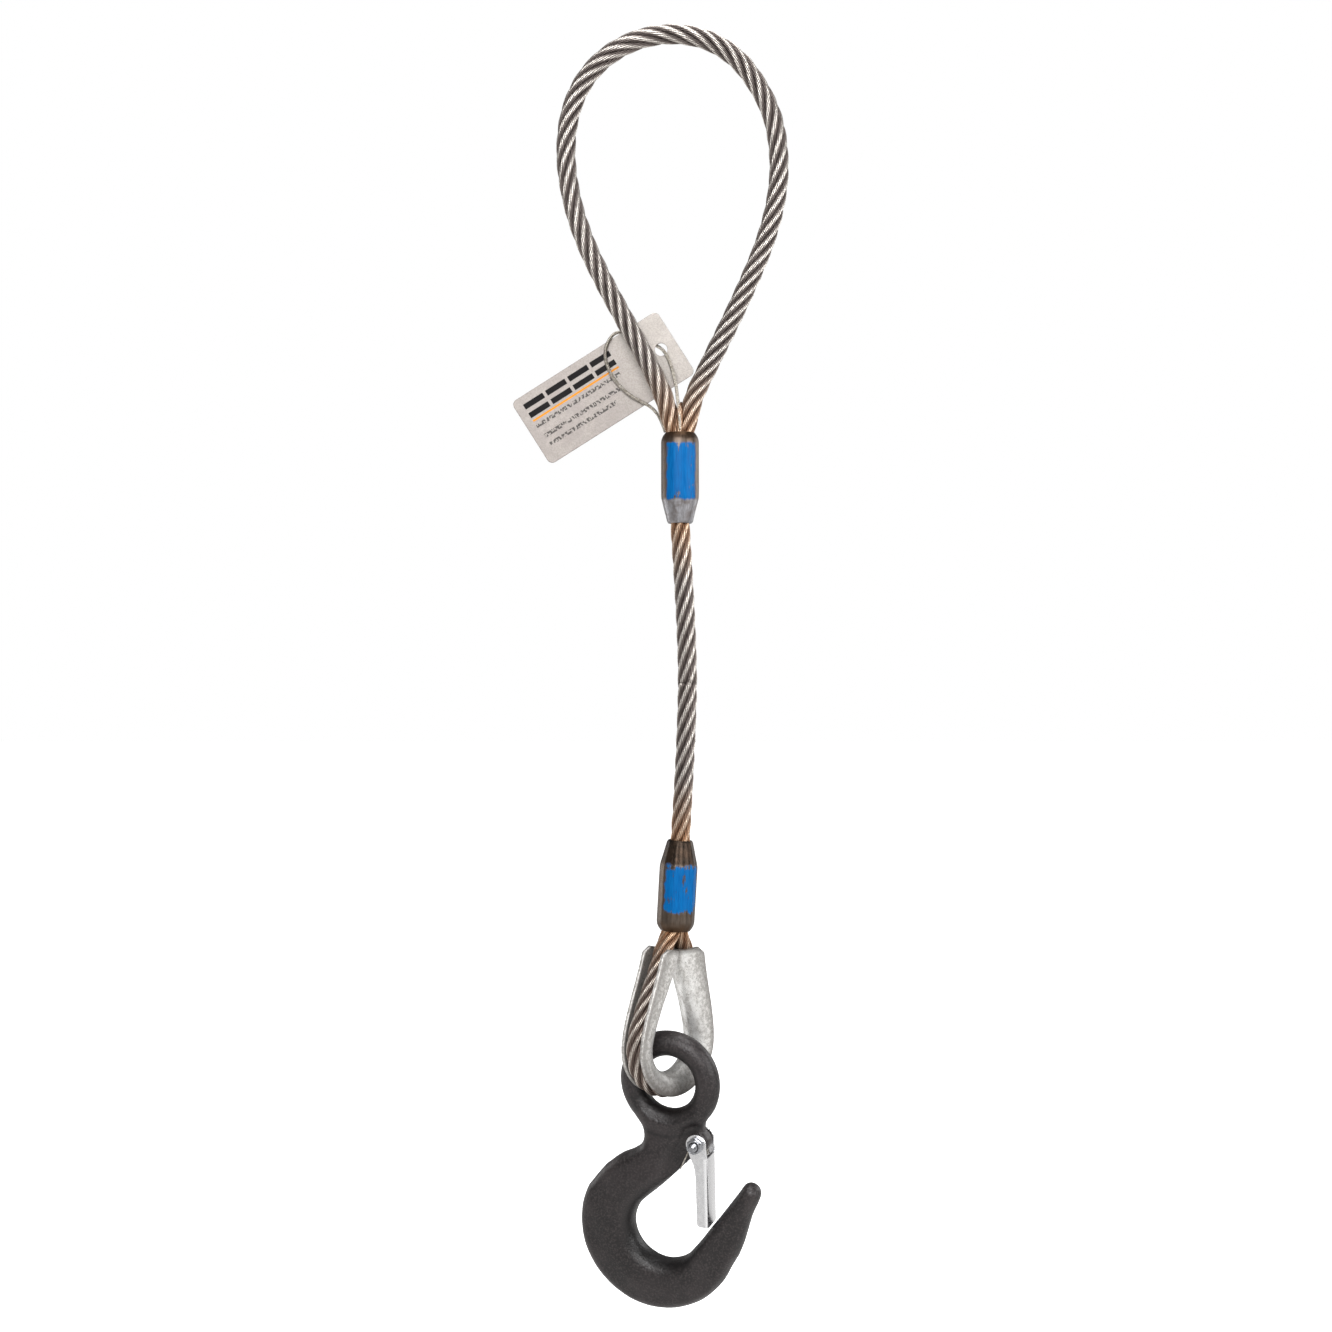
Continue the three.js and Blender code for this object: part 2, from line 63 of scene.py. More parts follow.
# ---------------------------------------------------------------- making meshes
def run_along(route):
    """How far along the route each of its points is."""
    return np.concatenate([[0], np.cumsum(np.linalg.norm(np.diff(route, axis=0), axis=1))])


def run_length(route):
    return float(run_along(route)[-1])


def bend_through(points, step):
    """A smooth route through the points, in steps of one length."""
    points = np.asarray(points, float)
    ends = [2 * points[0] - points[1], 2 * points[-1] - points[-2]]
    held = np.vstack([ends[0], points, ends[1]])
    route = []
    for before, here, there, after in zip(held, held[1:], held[2:], held[3:]):
        pairs = ((before, here), (here, there), (there, after))
        a, b, c = (max(np.linalg.norm(q - p) ** 0.5, 1e-6) for p, q in pairs)
        leave = ((here - before) / a - (there - before) / (a + b) + (there - here) / b) * b
        arrive = ((there - here) / b - (after - here) / (b + c) + (after - there) / c) * b
        t = np.linspace(0, 1, 24, endpoint=False)[:, None]
        route.append(
            (2 * t**3 - 3 * t**2 + 1) * here + (t**3 - 2 * t**2 + t) * leave
            + (3 * t**2 - 2 * t**3) * there + (t**3 - t**2) * arrive
        )
    route = np.vstack(route + [points[-1:]])
    run = run_along(route)
    even = np.linspace(0, run[-1], max(2, round(run[-1] / step)) + 1)
    return np.column_stack([np.interp(even, run, route[:, i]) for i in range(route.shape[1])])


def unit(vectors):
    return vectors / np.maximum(np.linalg.norm(vectors, axis=-1, keepdims=True), 1e-12)


def ease(value, low, high):
    """Nought at low, one at high, smooth between."""
    t = np.clip((value - low) / (high - low), 0, 1)
    return t * t * (3 - 2 * t)


def carried(route, side):
    """Two directions across a route that follow it without twisting."""
    ahead = unit(np.gradient(route, axis=0))
    across = np.zeros_like(ahead)
    held = np.asarray(side, float)
    for i, t in enumerate(ahead):
        held = unit(held - (held @ t) * t)
        across[i] = held
    return ahead, across, np.cross(ahead, across)


def arc(centre, radius, start, end, steps):
    angles = np.radians(np.linspace(start, end, steps + 1))
    return np.column_stack([centre[0] + radius * np.cos(angles), centre[1] + radius * np.sin(angles)])


def round_steps(count):
    return np.linspace(0, 2 * math.pi, count, endpoint=False)


def skin_rings(rings, capped=True):
    """Points and faces of a tube given as a stack of closed rings."""
    count, around = rings.shape[:2]
    index = np.arange(count * around).reshape(count, around)
    nxt = np.roll(index, -1, axis=1)
    faces = np.stack([index[:-1], nxt[:-1], nxt[1:], index[1:]], axis=-1).reshape(-1, 4).tolist()
    if capped:
        faces += [index[0][::-1].tolist(), index[-1].tolist()]
    return rings.reshape(-1, 3), faces


def tube(line, across, up, r, theta):
    """A tube along a line, with radius r at each angle theta from across towards up."""
    out, over = (r * np.cos(theta))[..., None], (r * np.sin(theta))[..., None]
    return skin_rings(line[:, None] + out * across[:, None] + over * up[:, None])


def turned(radii, heights, angles):
    """Rings about an upright axis: one row of radii for each height."""
    cos, sin, flat = np.cos(angles), np.sin(angles), np.ones(len(angles))
    return np.array([np.stack([r * cos, r * sin, z * flat], -1) for r, z in zip(radii, heights)])


def point_notes(first, second, third):
    """Three numbers for each point, and a one, as the rows of a point note."""
    columns = np.broadcast_arrays(first, second, third, 1.0)
    return np.stack(columns, -1).reshape(-1, 4)


def together(parts):
    """Several (points, faces) as one."""
    points, faces, offset = [], [], 0
    for part_points, part_faces in parts:
        points.append(np.asarray(part_points))
        faces += [[i + offset for i in face] for face in part_faces]
        offset += len(part_points)
    return np.vstack(points), faces


def piece(name, points, faces, notes=None, sharp_over=None):
    """An object from points in millimetres; notes are named rows of four numbers per point."""
    mesh = bpy.data.meshes.new(name)
    mesh.from_pydata((np.asarray(points) * MM).tolist(), [], faces)
    for note, rows in (notes or {}).items():
        layer = mesh.color_attributes.new(name=note, type="FLOAT_COLOR", domain="POINT")
        layer.data.foreach_set("color", np.asarray(rows, np.float32).ravel())
    mesh.polygons.foreach_set("use_smooth", np.ones(len(mesh.polygons), bool))
    if sharp_over is not None:
        mesh.set_sharp_from_angle(angle=math.radians(sharp_over))
    made = bpy.data.objects.new(name, mesh)
    bpy.context.scene.collection.objects.link(made)
    return made


def dress(made, finish, body, slot, *nodes):
    """Gives a piece its material, its body and the nodes that it stands for. A body given by name takes the
    piece; any other, such as a bend, leaves it fixed where it stands.
    """
    made.data.materials.clear()
    made.data.materials.append(finish)
    if isinstance(body, str):
        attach(made, body)
    else:
        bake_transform(made)
    if nodes:
        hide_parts(*nodes)


# ---------------------------------------------------------------- nodes of the materials
def tint(hex_code):
    """An sRGB colour such as "8c857c" as the linear colour that the shader takes."""
    srgb = [int(hex_code[i:i + 2], 16) / 255 for i in (0, 2, 4)]
    return [c / 12.92 if c <= 0.04045 else ((c + 0.055) / 1.055) ** 2.4 for c in srgb] + [1]


def add(tree, kind, wires=None, settings=None):
    """Adds one node and gives its first output in use. Wires are values or outputs for its sockets."""
    made = tree.nodes.new("ShaderNode" + kind)
    for option, value in (settings or {}).items():
        setattr(made, option, value)
    for socket, value in (wires or {}).items():
        if isinstance(value, bpy.types.NodeSocket):
            tree.links.new(value, made.inputs[socket])
        else:
            made.inputs[socket].default_value = value
    return next((output for output in made.outputs if output.enabled), None)


def start_finish(name, note=None):
    """A new material, what adds its nodes, its place in the object and the parts of a point note."""
    finish = bpy.data.materials.new(name)
    finish.use_nodes = True
    finish.node_tree.nodes.clear()
    put = functools.partial(add, finish.node_tree)
    place = put("TexCoord").node.outputs["Object"]
    if note is None:
        return finish, put, place
    parts = put("SeparateColor", {0: put("Attribute", {}, {"attribute_name": note})}).node.outputs
    return finish, put, place, *parts


def end_finish(finish, put, wires):
    put("OutputMaterial", {"Surface": put("BsdfPrincipled", wires)})
    return finish


def per_mm(size):
    """Texture scale whose grains are about this many millimetres across."""
    return 1 / (size * MM)


RGBA = {"data_type": "RGBA"}
SMOOTH = {"interpolation_type": "SMOOTHSTEP"}
TIMES, TIMES_PLUS, PLUS, LESS, LARGER, SIZE_OF = (
    {"operation": name} for name in ("MULTIPLY", "MULTIPLY_ADD", "ADD", "SUBTRACT", "MAXIMUM", "ABSOLUTE")
)


# Plain carbon steel wire rope, drawn wires laid into strands. The crowns of the strands are rubbed bright and
# carry a painted highlight, the sides are grey-brown from handling, and the valleys between strands and wires
# are painted dark: painted shade with grease in it.
def drawn_rope_steel():
    finish, put, place, crown, wire, grease = start_finish("drawn_rope_steel", "lay")
    # handling marks 5 mm across, and flecks 0.6 mm across, about one wire wide
    marks, flecks = (
        put("TexNoise", {"Vector": place, "Scale": per_mm(size), "Detail": detail})
        for size, detail in ((5, 4.0), (0.6, 3.0))
    )
    side = put("Mix", {0: marks, 6: tint("544c49"), 7: tint("887e7a")}, RGBA)
    # painted highlight with wear: the crowns of the strands, thinner along each wire, are painted near white
    rubbed = put("MapRange", {0: crown, 1: 0.86, 4: 0.95}, SMOOTH)
    flecked = put("MapRange", {0: flecks, 1: 0.36, 2: 0.6, 3: 0.45}, SMOOTH)
    crown_wear_and_highlight = put("Math", {0: rubbed, 1: flecked}, TIMES)
    on_wire = put("MapRange", {0: wire, 1: 0.2, 2: 0.9, 3: 0.35})
    crown_wear_and_highlight = put("Math", {0: crown_wear_and_highlight, 1: on_wire}, TIMES)
    stain = put("Math", {0: grease, 1: 0.6}, TIMES)
    side = put("Mix", {0: stain, 6: side, 7: tint("bd9b80")}, RGBA)
    steel = put("Mix", {0: crown_wear_and_highlight, 6: side, 7: tint("f6f0e8")}, RGBA)
    gold = put("Mix", {0: grease, 6: steel, 7: tint("eccfb2")}, {**RGBA, "blend_type": "MULTIPLY"})
    # painted shade with grease: near black in the valleys between the strands and between the wires
    low_strand = put("MapRange", {0: crown, 1: 0.1, 2: 0.42, 3: 1.0, 4: 0.0}, SMOOTH)
    low_wire = put("MapRange", {0: wire, 2: 0.6, 3: 0.85, 4: 0.0}, SMOOTH)
    valley = put("Math", {0: low_strand, 1: low_wire}, LARGER)
    colour = put("Mix", {0: valley, 6: gold, 7: tint("1c1612")}, RGBA)
    rough = put("MapRange", {0: crown_wear_and_highlight, 3: 0.52, 4: 0.27})
    dull = put("Math", {0: valley, 1: 0.3, 2: rough}, TIMES_PLUS)
    metal = put("MapRange", {0: valley, 3: 1.0, 4: 0.45})
    bump = put("Bump", {"Strength": 0.35, "Distance": 0.08 * MM, "Height": flecks})
    return end_finish(finish, put, {"Base Color": colour, "Metallic": metal, "Roughness": dull, "Normal": bump})


# Mild steel sleeve, pressed on cold and painted blue over the middle. Both ends and the two die lines
# are bare, grey-brown and dull, and scale-marked where the dies slid. Enamel is smooth but rubbed.
def painted_sleeve(name, low, high, reach, ragged, worn, sides, taper):
    """The paint runs from height low to high, where the wall faces forward or back by more than reach,
    with an edge ragged by so many millimetres, and stays on where the marks are over worn."""
    finish, put, place, facing, _, height = start_finish(name, "wrap")
    # paint edge wanders by the noise: 4 mm patches, and drag marks 0.7 mm wide along the sleeve
    patches = put("TexNoise", {"Vector": place, "Scale": per_mm(4), "Detail": 5.0})
    drawn = put("Mapping", {"Vector": place, "Scale": (1, 1, 0.12)})
    drags = put("TexNoise", {"Vector": drawn, "Scale": per_mm(0.7), "Detail": 4.0})
    wander = put("Math", {0: patches, 1: 2 * ragged, 2: -ragged}, TIMES_PLUS)
    off_middle = put("Math", {0: put("Math", {0: height, 1: (low + high) / 2}, LESS)}, SIZE_OF)
    band = put("Math", {0: (high - low) / 2, 1: off_middle}, LESS)
    band = put("Math", {0: band, 1: wander}, PLUS)
    in_band = put("MapRange", {0: band, 1: -0.4, 2: 0.9}, SMOOTH)
    front = put("Math", {0: facing}, SIZE_OF)
    front = put("Math", {0: wander, 1: 0.09, 2: front}, TIMES_PLUS)
    in_reach = put("MapRange", {0: front, 1: reach - 0.05, 2: reach + 0.09}, SMOOTH)
    rubbed = put("Math", {0: patches, 1: drags}, PLUS)
    rim = put("MapRange", {0: band, 2: 6.0, 3: 0.16, 4: 0.0}, SMOOTH)
    rubbed = put("Math", {0: rubbed, 1: rim}, LESS)
    kept = put("MapRange", {0: rubbed, 1: worn, 2: worn + 0.16}, SMOOTH)
    paint = put("Math", {0: in_band, 1: in_reach}, TIMES)
    paint = put("Math", {0: paint, 1: kept}, TIMES)
    blue = put("Mix", {0: drags, 6: tint("004483"), 7: tint("0073ba")}, RGBA)
    end_note = put("MapRange", {0: height, 1: -6.0, 2: -0.5}, SMOOTH)
    bare = put("Mix", {0: drags, 6: tint(sides[0]), 7: tint(sides[1])}, RGBA)
    cone = put("Mix", {0: drags, 6: tint(taper[0]), 7: tint(taper[1])}, RGBA)
    on_cone = put("MapRange", {0: height, 1: -32.5, 2: -34.5}, SMOOTH)
    bare = put("Mix", {0: on_cone, 6: bare, 7: cone}, RGBA)
    stain = put("MapRange", {0: patches, 1: 0.4, 2: 0.65, 4: 0.45}, SMOOTH)
    bare = put("Mix", {0: stain, 6: bare, 7: tint("57463a")}, RGBA)
    bare = put("Mix", {0: end_note, 6: bare, 7: tint("4c3a2c")}, RGBA)
    colour = put("Mix", {0: paint, 6: bare, 7: blue}, RGBA)
    metal = put("MapRange", {0: paint, 3: 0.95, 4: 0.0})
    rough = put("MapRange", {0: drags, 1: 0.3, 2: 0.7, 3: 0.3, 4: 0.5})
    step = put("Math", {0: paint, 1: 0.6, 2: drags}, TIMES_PLUS)
    bump = put("Bump", {"Strength": 0.5, "Distance": 0.12 * MM, "Height": step})
    return end_finish(finish, put, {
        "Base Color": colour, "Metallic": metal, "Roughness": rough, "Specular IOR Level": 0.1, "Normal": bump,
    })


# Hot-dip galvanised pressed steel. The zinc is satin grey with frost 1.6 mm across and small pits, rubbed
# bright in streaks along the back with a painted highlight, painted shade in the groove under the rope, and
# darker along the lip edges, at the tips and towards the bottom of the crown.
def galvanised_steel():
    finish, put, place, back, crown, groove_shade_and_dark_rims = start_finish("galvanised_steel", "rub")
    frost, grain = (
        put("TexNoise", {"Vector": place, "Scale": per_mm(size), "Detail": detail})
        for size, detail in ((1.6, 6.0), (0.5, 3.0))
    )
    long = put("Mapping", {"Vector": place, "Scale": (1, 1, 0.3)})
    streaks = put("TexNoise", {"Vector": long, "Scale": per_mm(3), "Detail": 4.0})
    zinc = put("Mix", {
        0: put("MapRange", {0: frost, 1: 0.36, 2: 0.64}, SMOOTH), 6: tint("b1aeaa"), 7: tint("dddbd8"),
    }, RGBA)
    streak = put("MapRange", {0: streaks, 1: 0.4, 2: 0.62, 3: 0.25}, SMOOTH)
    # painted highlight with wear: streaks along the back are painted near white
    rubbed_streak_highlight = put("Math", {0: streak, 1: back}, TIMES)
    zinc = put("Mix", {0: rubbed_streak_highlight, 6: zinc, 7: tint("f4f4f2")}, RGBA)
    pits = put("MapRange", {0: grain, 1: 0.3, 2: 0.46, 3: 0.55, 4: 0.0}, SMOOTH)
    zinc = put("Mix", {0: pits, 6: zinc, 7: tint("5b5550")}, RGBA)
    # painted shade in the groove under the rope, and darker along the lip edges and at the tips
    grained_shade_and_rims = put("Math", {0: groove_shade_and_dark_rims, 1: frost}, TIMES)
    zinc = put("Mix", {0: grained_shade_and_rims, 6: zinc, 7: tint("4a4540")}, RGBA)
    # darker towards the bottom of the crown
    worn = put("Math", {0: crown, 1: 0.65}, TIMES)
    colour = put("Mix", {0: worn, 6: zinc, 7: tint("55504c")}, RGBA)
    rough = put("MapRange", {0: rubbed_streak_highlight, 3: 0.5, 4: 0.34})
    height = put("Math", {0: frost, 1: 0.8, 2: grain}, TIMES_PLUS)
    bump = put("Bump", {"Strength": 0.25, "Distance": 0.08 * MM, "Height": height})
    return end_finish(finish, put, {"Base Color": colour, "Metallic": 0.6, "Roughness": rough, "Normal": bump})


# Drop-forged alloy steel with heat-treatment oxide. Nearly black with a soft sheen, browner where it has been
# handled, pimpled by scale just under 1 mm across, with pale scuffs on high spots, a painted highlight along
# the ridges and outer edges, and painted shade, near black, in the hollows and along the neck crease.
def forging_oxide():
    finish, put, place, edge, painted_shade_mask, _ = start_finish("forging_oxide", "forge")
    clouds, scale, specks = (
        put("TexNoise", {"Vector": place, "Scale": per_mm(size), "Detail": detail})
        for size, detail in ((18, 4.0), (0.9, 5.0), (0.7, 2.0))
    )
    black = put("Mix", {
        0: put("MapRange", {0: clouds, 1: 0.35, 2: 0.68}, SMOOTH), 6: tint("151112"), 7: tint("2a2425"),
    }, RGBA)
    dust = put("MapRange", {0: scale, 1: 0.46, 2: 0.66, 4: 0.75}, SMOOTH)
    black = put("Mix", {0: dust, 6: black, 7: tint("3d3636")}, RGBA)
    scuffs = put("MapRange", {0: specks, 1: 0.66, 2: 0.74, 4: 0.5}, SMOOTH)
    scuffs = put("Math", {0: scuffs, 1: edge}, TIMES)
    black = put("Mix", {0: scuffs, 6: black, 7: tint("6b615b")}, RGBA)
    # painted highlight: lighter along the ridge beside the bowl and along the outer edges
    edge_highlight = put("Math", {0: edge, 1: 0.8, 2: -0.28}, {"operation": "MULTIPLY_ADD", "use_clamp": True})
    black = put("Mix", {0: edge_highlight, 6: black, 7: tint("4a4342")}, RGBA)
    # painted shade: the second note turns the hollows near black
    colour = put("Mix", {0: painted_shade_mask, 6: black, 7: tint("0e0c0d")}, RGBA)
    rough = put("MapRange", {0: scale, 1: 0.34, 2: 0.62, 3: 0.28, 4: 0.48})
    height = put("Math", {0: clouds, 1: 2.5, 2: scale}, TIMES_PLUS)
    bump = put("Bump", {"Strength": 0.8, "Distance": 0.3 * MM, "Height": height})
    return end_finish(finish, put, {
        "Base Color": colour, "Metallic": 0.15, "Roughness": rough, "Specular IOR Level": 0.6, "Normal": bump,
    })


# Bright zinc plate on pressed sheet and turned parts: white and shiny, with faint rolling lines along
# the sheet and small dull specks. The bolt and nut are greyer than the latch.
def bright_zinc(name, dark, light):
    finish, put, place = start_finish(name)
    long = put("Mapping", {"Vector": place, "Scale": (1, 1, 0.06)})
    lines = put("TexNoise", {"Vector": long, "Scale": per_mm(0.8), "Detail": 3.0})
    specks = put("TexNoise", {"Vector": place, "Scale": per_mm(1.5), "Detail": 4.0})
    colour = put("Mix", {0: specks, 6: tint(dark), 7: tint(light)}, RGBA)
    rough = put("MapRange", {0: specks, 1: 0.3, 2: 0.75, 3: 0.2, 4: 0.38})
    bump = put("Bump", {"Strength": 0.12, "Distance": 0.05 * MM, "Height": lines})
    return end_finish(finish, put, {"Base Color": colour, "Metallic": 1.0, "Roughness": rough, "Normal": bump})


# Plain steel wire drawn fine, for the spring and for the tag's cable: bright along the top, a little
# brown, streaked by the drawing die.
def drawn_wire(name, light, dark, twisted):
    finish, put, place, *parts = start_finish(name, "lay" if twisted else None)
    marks = put("TexNoise", {"Vector": place, "Scale": per_mm(1.2), "Detail": 4.0})
    colour = put("Mix", {
        0: put("MapRange", {0: marks, 1: 0.35, 2: 0.65}, SMOOTH), 6: tint(dark), 7: tint(light),
    }, RGBA)
    if twisted:
        # darker in the grooves between the little strands
        groove = put("MapRange", {0: parts[0], 1: 0.35, 2: 0.75, 3: 0.9, 4: 0.0}, SMOOTH)
        colour = put("Mix", {0: groove, 6: colour, 7: tint("2b2622")}, RGBA)
    rough = put("MapRange", {0: marks, 1: 0.3, 2: 0.7, 3: 0.42, 4: 0.24})
    bump = put("Bump", {"Strength": 0.2, "Distance": 0.04 * MM, "Height": marks})
    return end_finish(finish, put, {"Base Color": colour, "Metallic": 1.0, "Roughness": rough, "Normal": bump})


# Rolled aluminium sheet, uncoated: warm pale grey, clouded by handling, with fine rolling lines along
# the tag. The print is flat ink: plain rules and blocks in black, one in orange, rows of small dashes.
INK_BARS = [
    (left, left + 11.6, low, low + 2.9) for left in (-39.0, -25.8, -12.6, 0.6) for low in (6.5, 11.6)
]
ORANGE_RULE = (-39.0, 12.2, 4.3, 5.3)
DASH_ROWS = [(-39.0, 11.0, 0.6, 2.6), (-38.0, 8.4, -5.8, -3.7), (-38.0, 2.0, -10.7, -8.6)]


def printed_aluminium():
    finish, put, place = start_finish("printed_aluminium")
    spot = put("UVMap", {}, {"uv_map": "tag_mm"})
    x, y, _ = put("SeparateXYZ", {0: spot}).node.outputs

    def inside(left, right, low, high):
        """One where the tag's own x and y are in the box."""
        gaps = []
        for value, start, end in ((x, left, right), (y, low, high)):
            half = (end - start) / 2
            off = put("Math", {0: put("Math", {0: value, 1: (start + end) / 2}, LESS)}, SIZE_OF)
            gaps.append(put("MapRange", {0: off, 1: half + 0.08, 2: half - 0.08}))
        return put("Math", {0: gaps[0], 1: gaps[1]}, TIMES)

    def most(masks):
        total = masks[0]
        for mask in masks[1:]:
            total = put("Math", {0: total, 1: mask}, LARGER)
        return total

    clouds = put("TexNoise", {"Vector": place, "Scale": per_mm(9), "Detail": 6.0})
    rolled = put("Mapping", {"Vector": spot, "Scale": (0.25, 6.0, 1.0)})
    lines = put("TexNoise", {"Vector": rolled, "Scale": 1.0, "Detail": 3.0})
    grit = put("TexNoise", {"Vector": place, "Scale": per_mm(0.6), "Detail": 2.0})
    sheet = put("Mix", {
        0: put("MapRange", {0: clouds, 1: 0.33, 2: 0.67}, SMOOTH), 6: tint("8f8884"), 7: tint("a49d98"),
    }, RGBA)
    # the punched end is painted lighter: a painted pool of light where it hangs out in the light, and rubbed
    # cleaner
    lit_end = put("MapRange", {0: x, 1: -10.0, 2: 38.0, 4: 0.7}, SMOOTH)
    sheet = put("Mix", {0: lit_end, 6: sheet, 7: tint("b8b2ac")}, RGBA)
    flecks = put("MapRange", {0: grit, 1: 0.4, 2: 0.62, 4: 0.35}, SMOOTH)
    sheet = put("Mix", {0: flecks, 6: sheet, 7: tint("7d7671")}, RGBA)
    black = most([inside(*bar) for bar in INK_BARS])
    # dashes 1.2 mm long, drawn as rough cells so that no letter can be read
    cells = put("Mapping", {"Vector": spot, "Scale": (0.95, 0.62, 1.0)})
    dots = put("TexNoise", {"Vector": cells, "Scale": 1.0, "Detail": 1.0})
    dashes = put("MapRange", {0: dots, 1: 0.48, 2: 0.52})
    rows = most([inside(*row) for row in DASH_ROWS])
    rows = put("Math", {0: rows, 1: dashes}, TIMES)
    rows = put("Math", {0: rows, 1: 0.75}, TIMES)
    ink = most([black, rows])
    orange = inside(*ORANGE_RULE)
    colour = put("Mix", {0: ink, 6: sheet, 7: tint("141213")}, RGBA)
    colour = put("Mix", {0: orange, 6: colour, 7: tint("e2922f")}, RGBA)
    printed = most([ink, orange])
    metal = put("MapRange", {0: printed, 3: 0.4, 4: 0.0})
    sheen = put("MapRange", {0: printed, 3: 0.5, 4: 0.1})
    rough = put("MapRange", {0: clouds, 1: 0.3, 2: 0.7, 3: 0.42, 4: 0.56})
    height = put("Math", {0: lines, 1: 0.5, 2: grit}, TIMES_PLUS)
    bump = put("Bump", {"Strength": 0.25, "Distance": 0.06 * MM, "Height": height})
    return end_finish(finish, put, {
        "Base Color": colour, "Metallic": metal, "Roughness": rough,
        "Specular IOR Level": sheen, "Normal": bump,
    })


rope_steel = drawn_rope_steel()
zinc_plate = bright_zinc("latch_zinc_plate", "e6e7ea", "fbfbfc")
bolt_plate = bright_zinc("bolt_zinc_plate", "85878b", "b4b6ba")
spring_steel = drawn_wire("spring_wire", "d8d4cb", "8d867c", False)
cable_steel = drawn_wire("tag_cable_wire", "cbc5bb", "958e84", True)

# ---------------------------------------------------------------- laid rope
ROPE_R = 4.9
LAY = 62.0  # one turn of a strand
WIRES = 10  # outer wires of a strand
# A wire's crown and the valley beside it, as shares of the strand's radius.
WIRE_PROFILE = [0.76, 0.95, 1.0, 0.95]
WIRE_LOBE = [0.0, 0.6, 1.0, 0.6]  # the same as the finish reads it: nought in the valley, one on the crown


def lay_up(route, side, radius, lay, turn, strands=6, wires=WIRES):
    """Strands laid right-handed round a route. Returns points, faces and what the finish reads."""
    ahead, across, up = carried(route, side)
    run = run_along(route)
    strand_r = radius / 3.0
    reach = radius - strand_r
    parts, notes = [], []
    profile = np.tile(WIRE_PROFILE, wires) if wires else np.ones(7)
    lobe = np.tile(WIRE_LOBE, wires) if wires else np.ones(7)
    slope = 2 * math.pi * reach / lay
    for k in range(strands):
        angle = 2 * math.pi * (run / lay + k / strands) + turn
        out = np.cos(angle)[:, None] * across + np.sin(angle)[:, None] * up
        centre = route + reach * out
        along = unit(np.gradient(centre, axis=0))
        out = unit(out - (out * along).sum(1, keepdims=True) * along)
        beside = np.cross(along, out)
        wound = -slope / strand_r * run if wires else 0 * run
        theta = wound[:, None] + round_steps(len(profile))[None, :]
        parts.append(tube(centre, out, beside, strand_r * 1.02 * profile[None, :], theta))
        notes.append(point_notes(0.5 + 0.5 * np.cos(theta), lobe, 0.0))
    points, faces = together(parts)
    return points, faces, np.vstack(notes)


def near(points, heights, reach):
    """One at the given heights, fading to nothing that far away."""
    gap = np.min([np.abs(points[:, 2] - h) for h in heights], axis=0)
    return np.clip(1 - gap / reach, 0, 1)


def pressed(points, foot, axis, radius, open_by):
    """Squeezes points into a round mouth: inside it they stay in the radius, 18 mm out they lie free."""
    axis = unit(np.asarray(axis, float))
    off = points - np.asarray(foot, float)
    out_by = off @ axis
    flat = off - out_by[:, None] * axis
    far = np.linalg.norm(flat, axis=1)
    room = radius + np.clip(out_by, 0, None) * open_by
    core, rest = room * 0.8, room * 0.2
    tight = np.where(far > core, core + rest * np.tanh((far - core) / rest), far)
    tight = far + (np.minimum(tight, far) - far) * ease(out_by, 18, 7)
    keep = np.where(far > 1e-9, tight / np.maximum(far, 1e-9), 1)
    return np.asarray(foot) + out_by[:, None] * axis + flat * keep[:, None]


SOFT_EYE_ROUTE = [
    [1.4, -207], [-0.5, -193], [-3.6, -178], [-12.6, -158], [-23.6, -138], [-34.4, -118],
    [-43.7, -98], [-50, -78], [-53, -55], [-50.6, -34], [-43.5, -18], [-32.5, -6.2],
    [-17, 2.1], [0, 4.9], [17, 2.1], [31.5, -6.6], [43, -21], [50.6, -38], [53.5, -59],
    [52, -78], [46.8, -98], [38.8, -118], [29.6, -138], [19.8, -158], [10.6, -178],
    [7.9, -193], [6.6, -207],
]
BODY_ROUTE = [
    [4, -207], [4.1, -240], [5.5, -264], [7.1, -294], [7.7, -318], [7.2, -340],
    [5.8, -370], [4.1, -398], [2.4, -428],
]
CABLE_ROUTE = [
    [3.9, -4.2, -193.4], [3.8, -4.2, -188], [3.3, -2.9, -183], [2.8, -0.6, -177.5],
    [2.1, 2.2, -171], [0.7, 5, -164], [-1.3, 7.2, -157.5], [-3.7, 8.6, -152.6], [-5.6, 10.3, -150.4],
    [-8.2, 12, -148.6], [-13, 12.9, -146.2], [-19, 13, -143.6], [-24.5, 12.4, -142],
    [-28.6, 10.6, -142.8], [-31.4, 8.8, -146], [-33.3, 8.4, -150.5], [-33.6, 8.4, -155.5],
    [-32.2, 8.4, -160.5], [-29.4, 8.4, -166], [-25.6, 8.4, -170.6], [-21, 8.3, -174.4],
    [-15.6, 8, -177.6], [-10.6, 7.3, -180.6], [-7.2, 6.6, -184.4], [-4.9, 6, -189], [-3.4, 5.3, -193.3],
]
FRONT = (0, -1, 0)
UPPER_MOUTH = (4, 0, -194.5)
ROPE_STEP = 1.75
SEAM_Z = -319
BEND_SIDE_Z, BEND_FORE_Z = -279, -357
BEND_HALF = 32  # mm of rope either way of each bend's middle, given as the two ends of each bend


def standing(points):
    """Points given as x and z, in the middle plane."""
    return [[x, 0, z] for x, z in points]


def make_cable():
    route = bend_through(CABLE_ROUTE, 0.45)
    points, faces, lay = lay_up(route, (1, 0, 0), 0.87, 6.5, 0.0, wires=0)
    cable = piece("tag_cable", points, faces, {"lay": lay})
    dress(cable, cable_steel, "soft_eye_end", "tag_cable", "tag_lanyard")


def make_eye_rope():
    route = bend_through(standing(SOFT_EYE_ROUTE), ROPE_STEP)
    points, faces, lay = lay_up(route, FRONT, ROPE_R, LAY, 0.35)
    points = pressed(points, UPPER_MOUTH, (0, 0, 1), 7.0, 0.42)
    lay[:, 2] = near(points, [-200], 42) ** 1.3
    eye = piece("soft_eye_strands", points, faces, {"lay": lay})
    dress(eye, rope_steel, "soft_eye_end", "wire_rope", "soft_eye_rope")


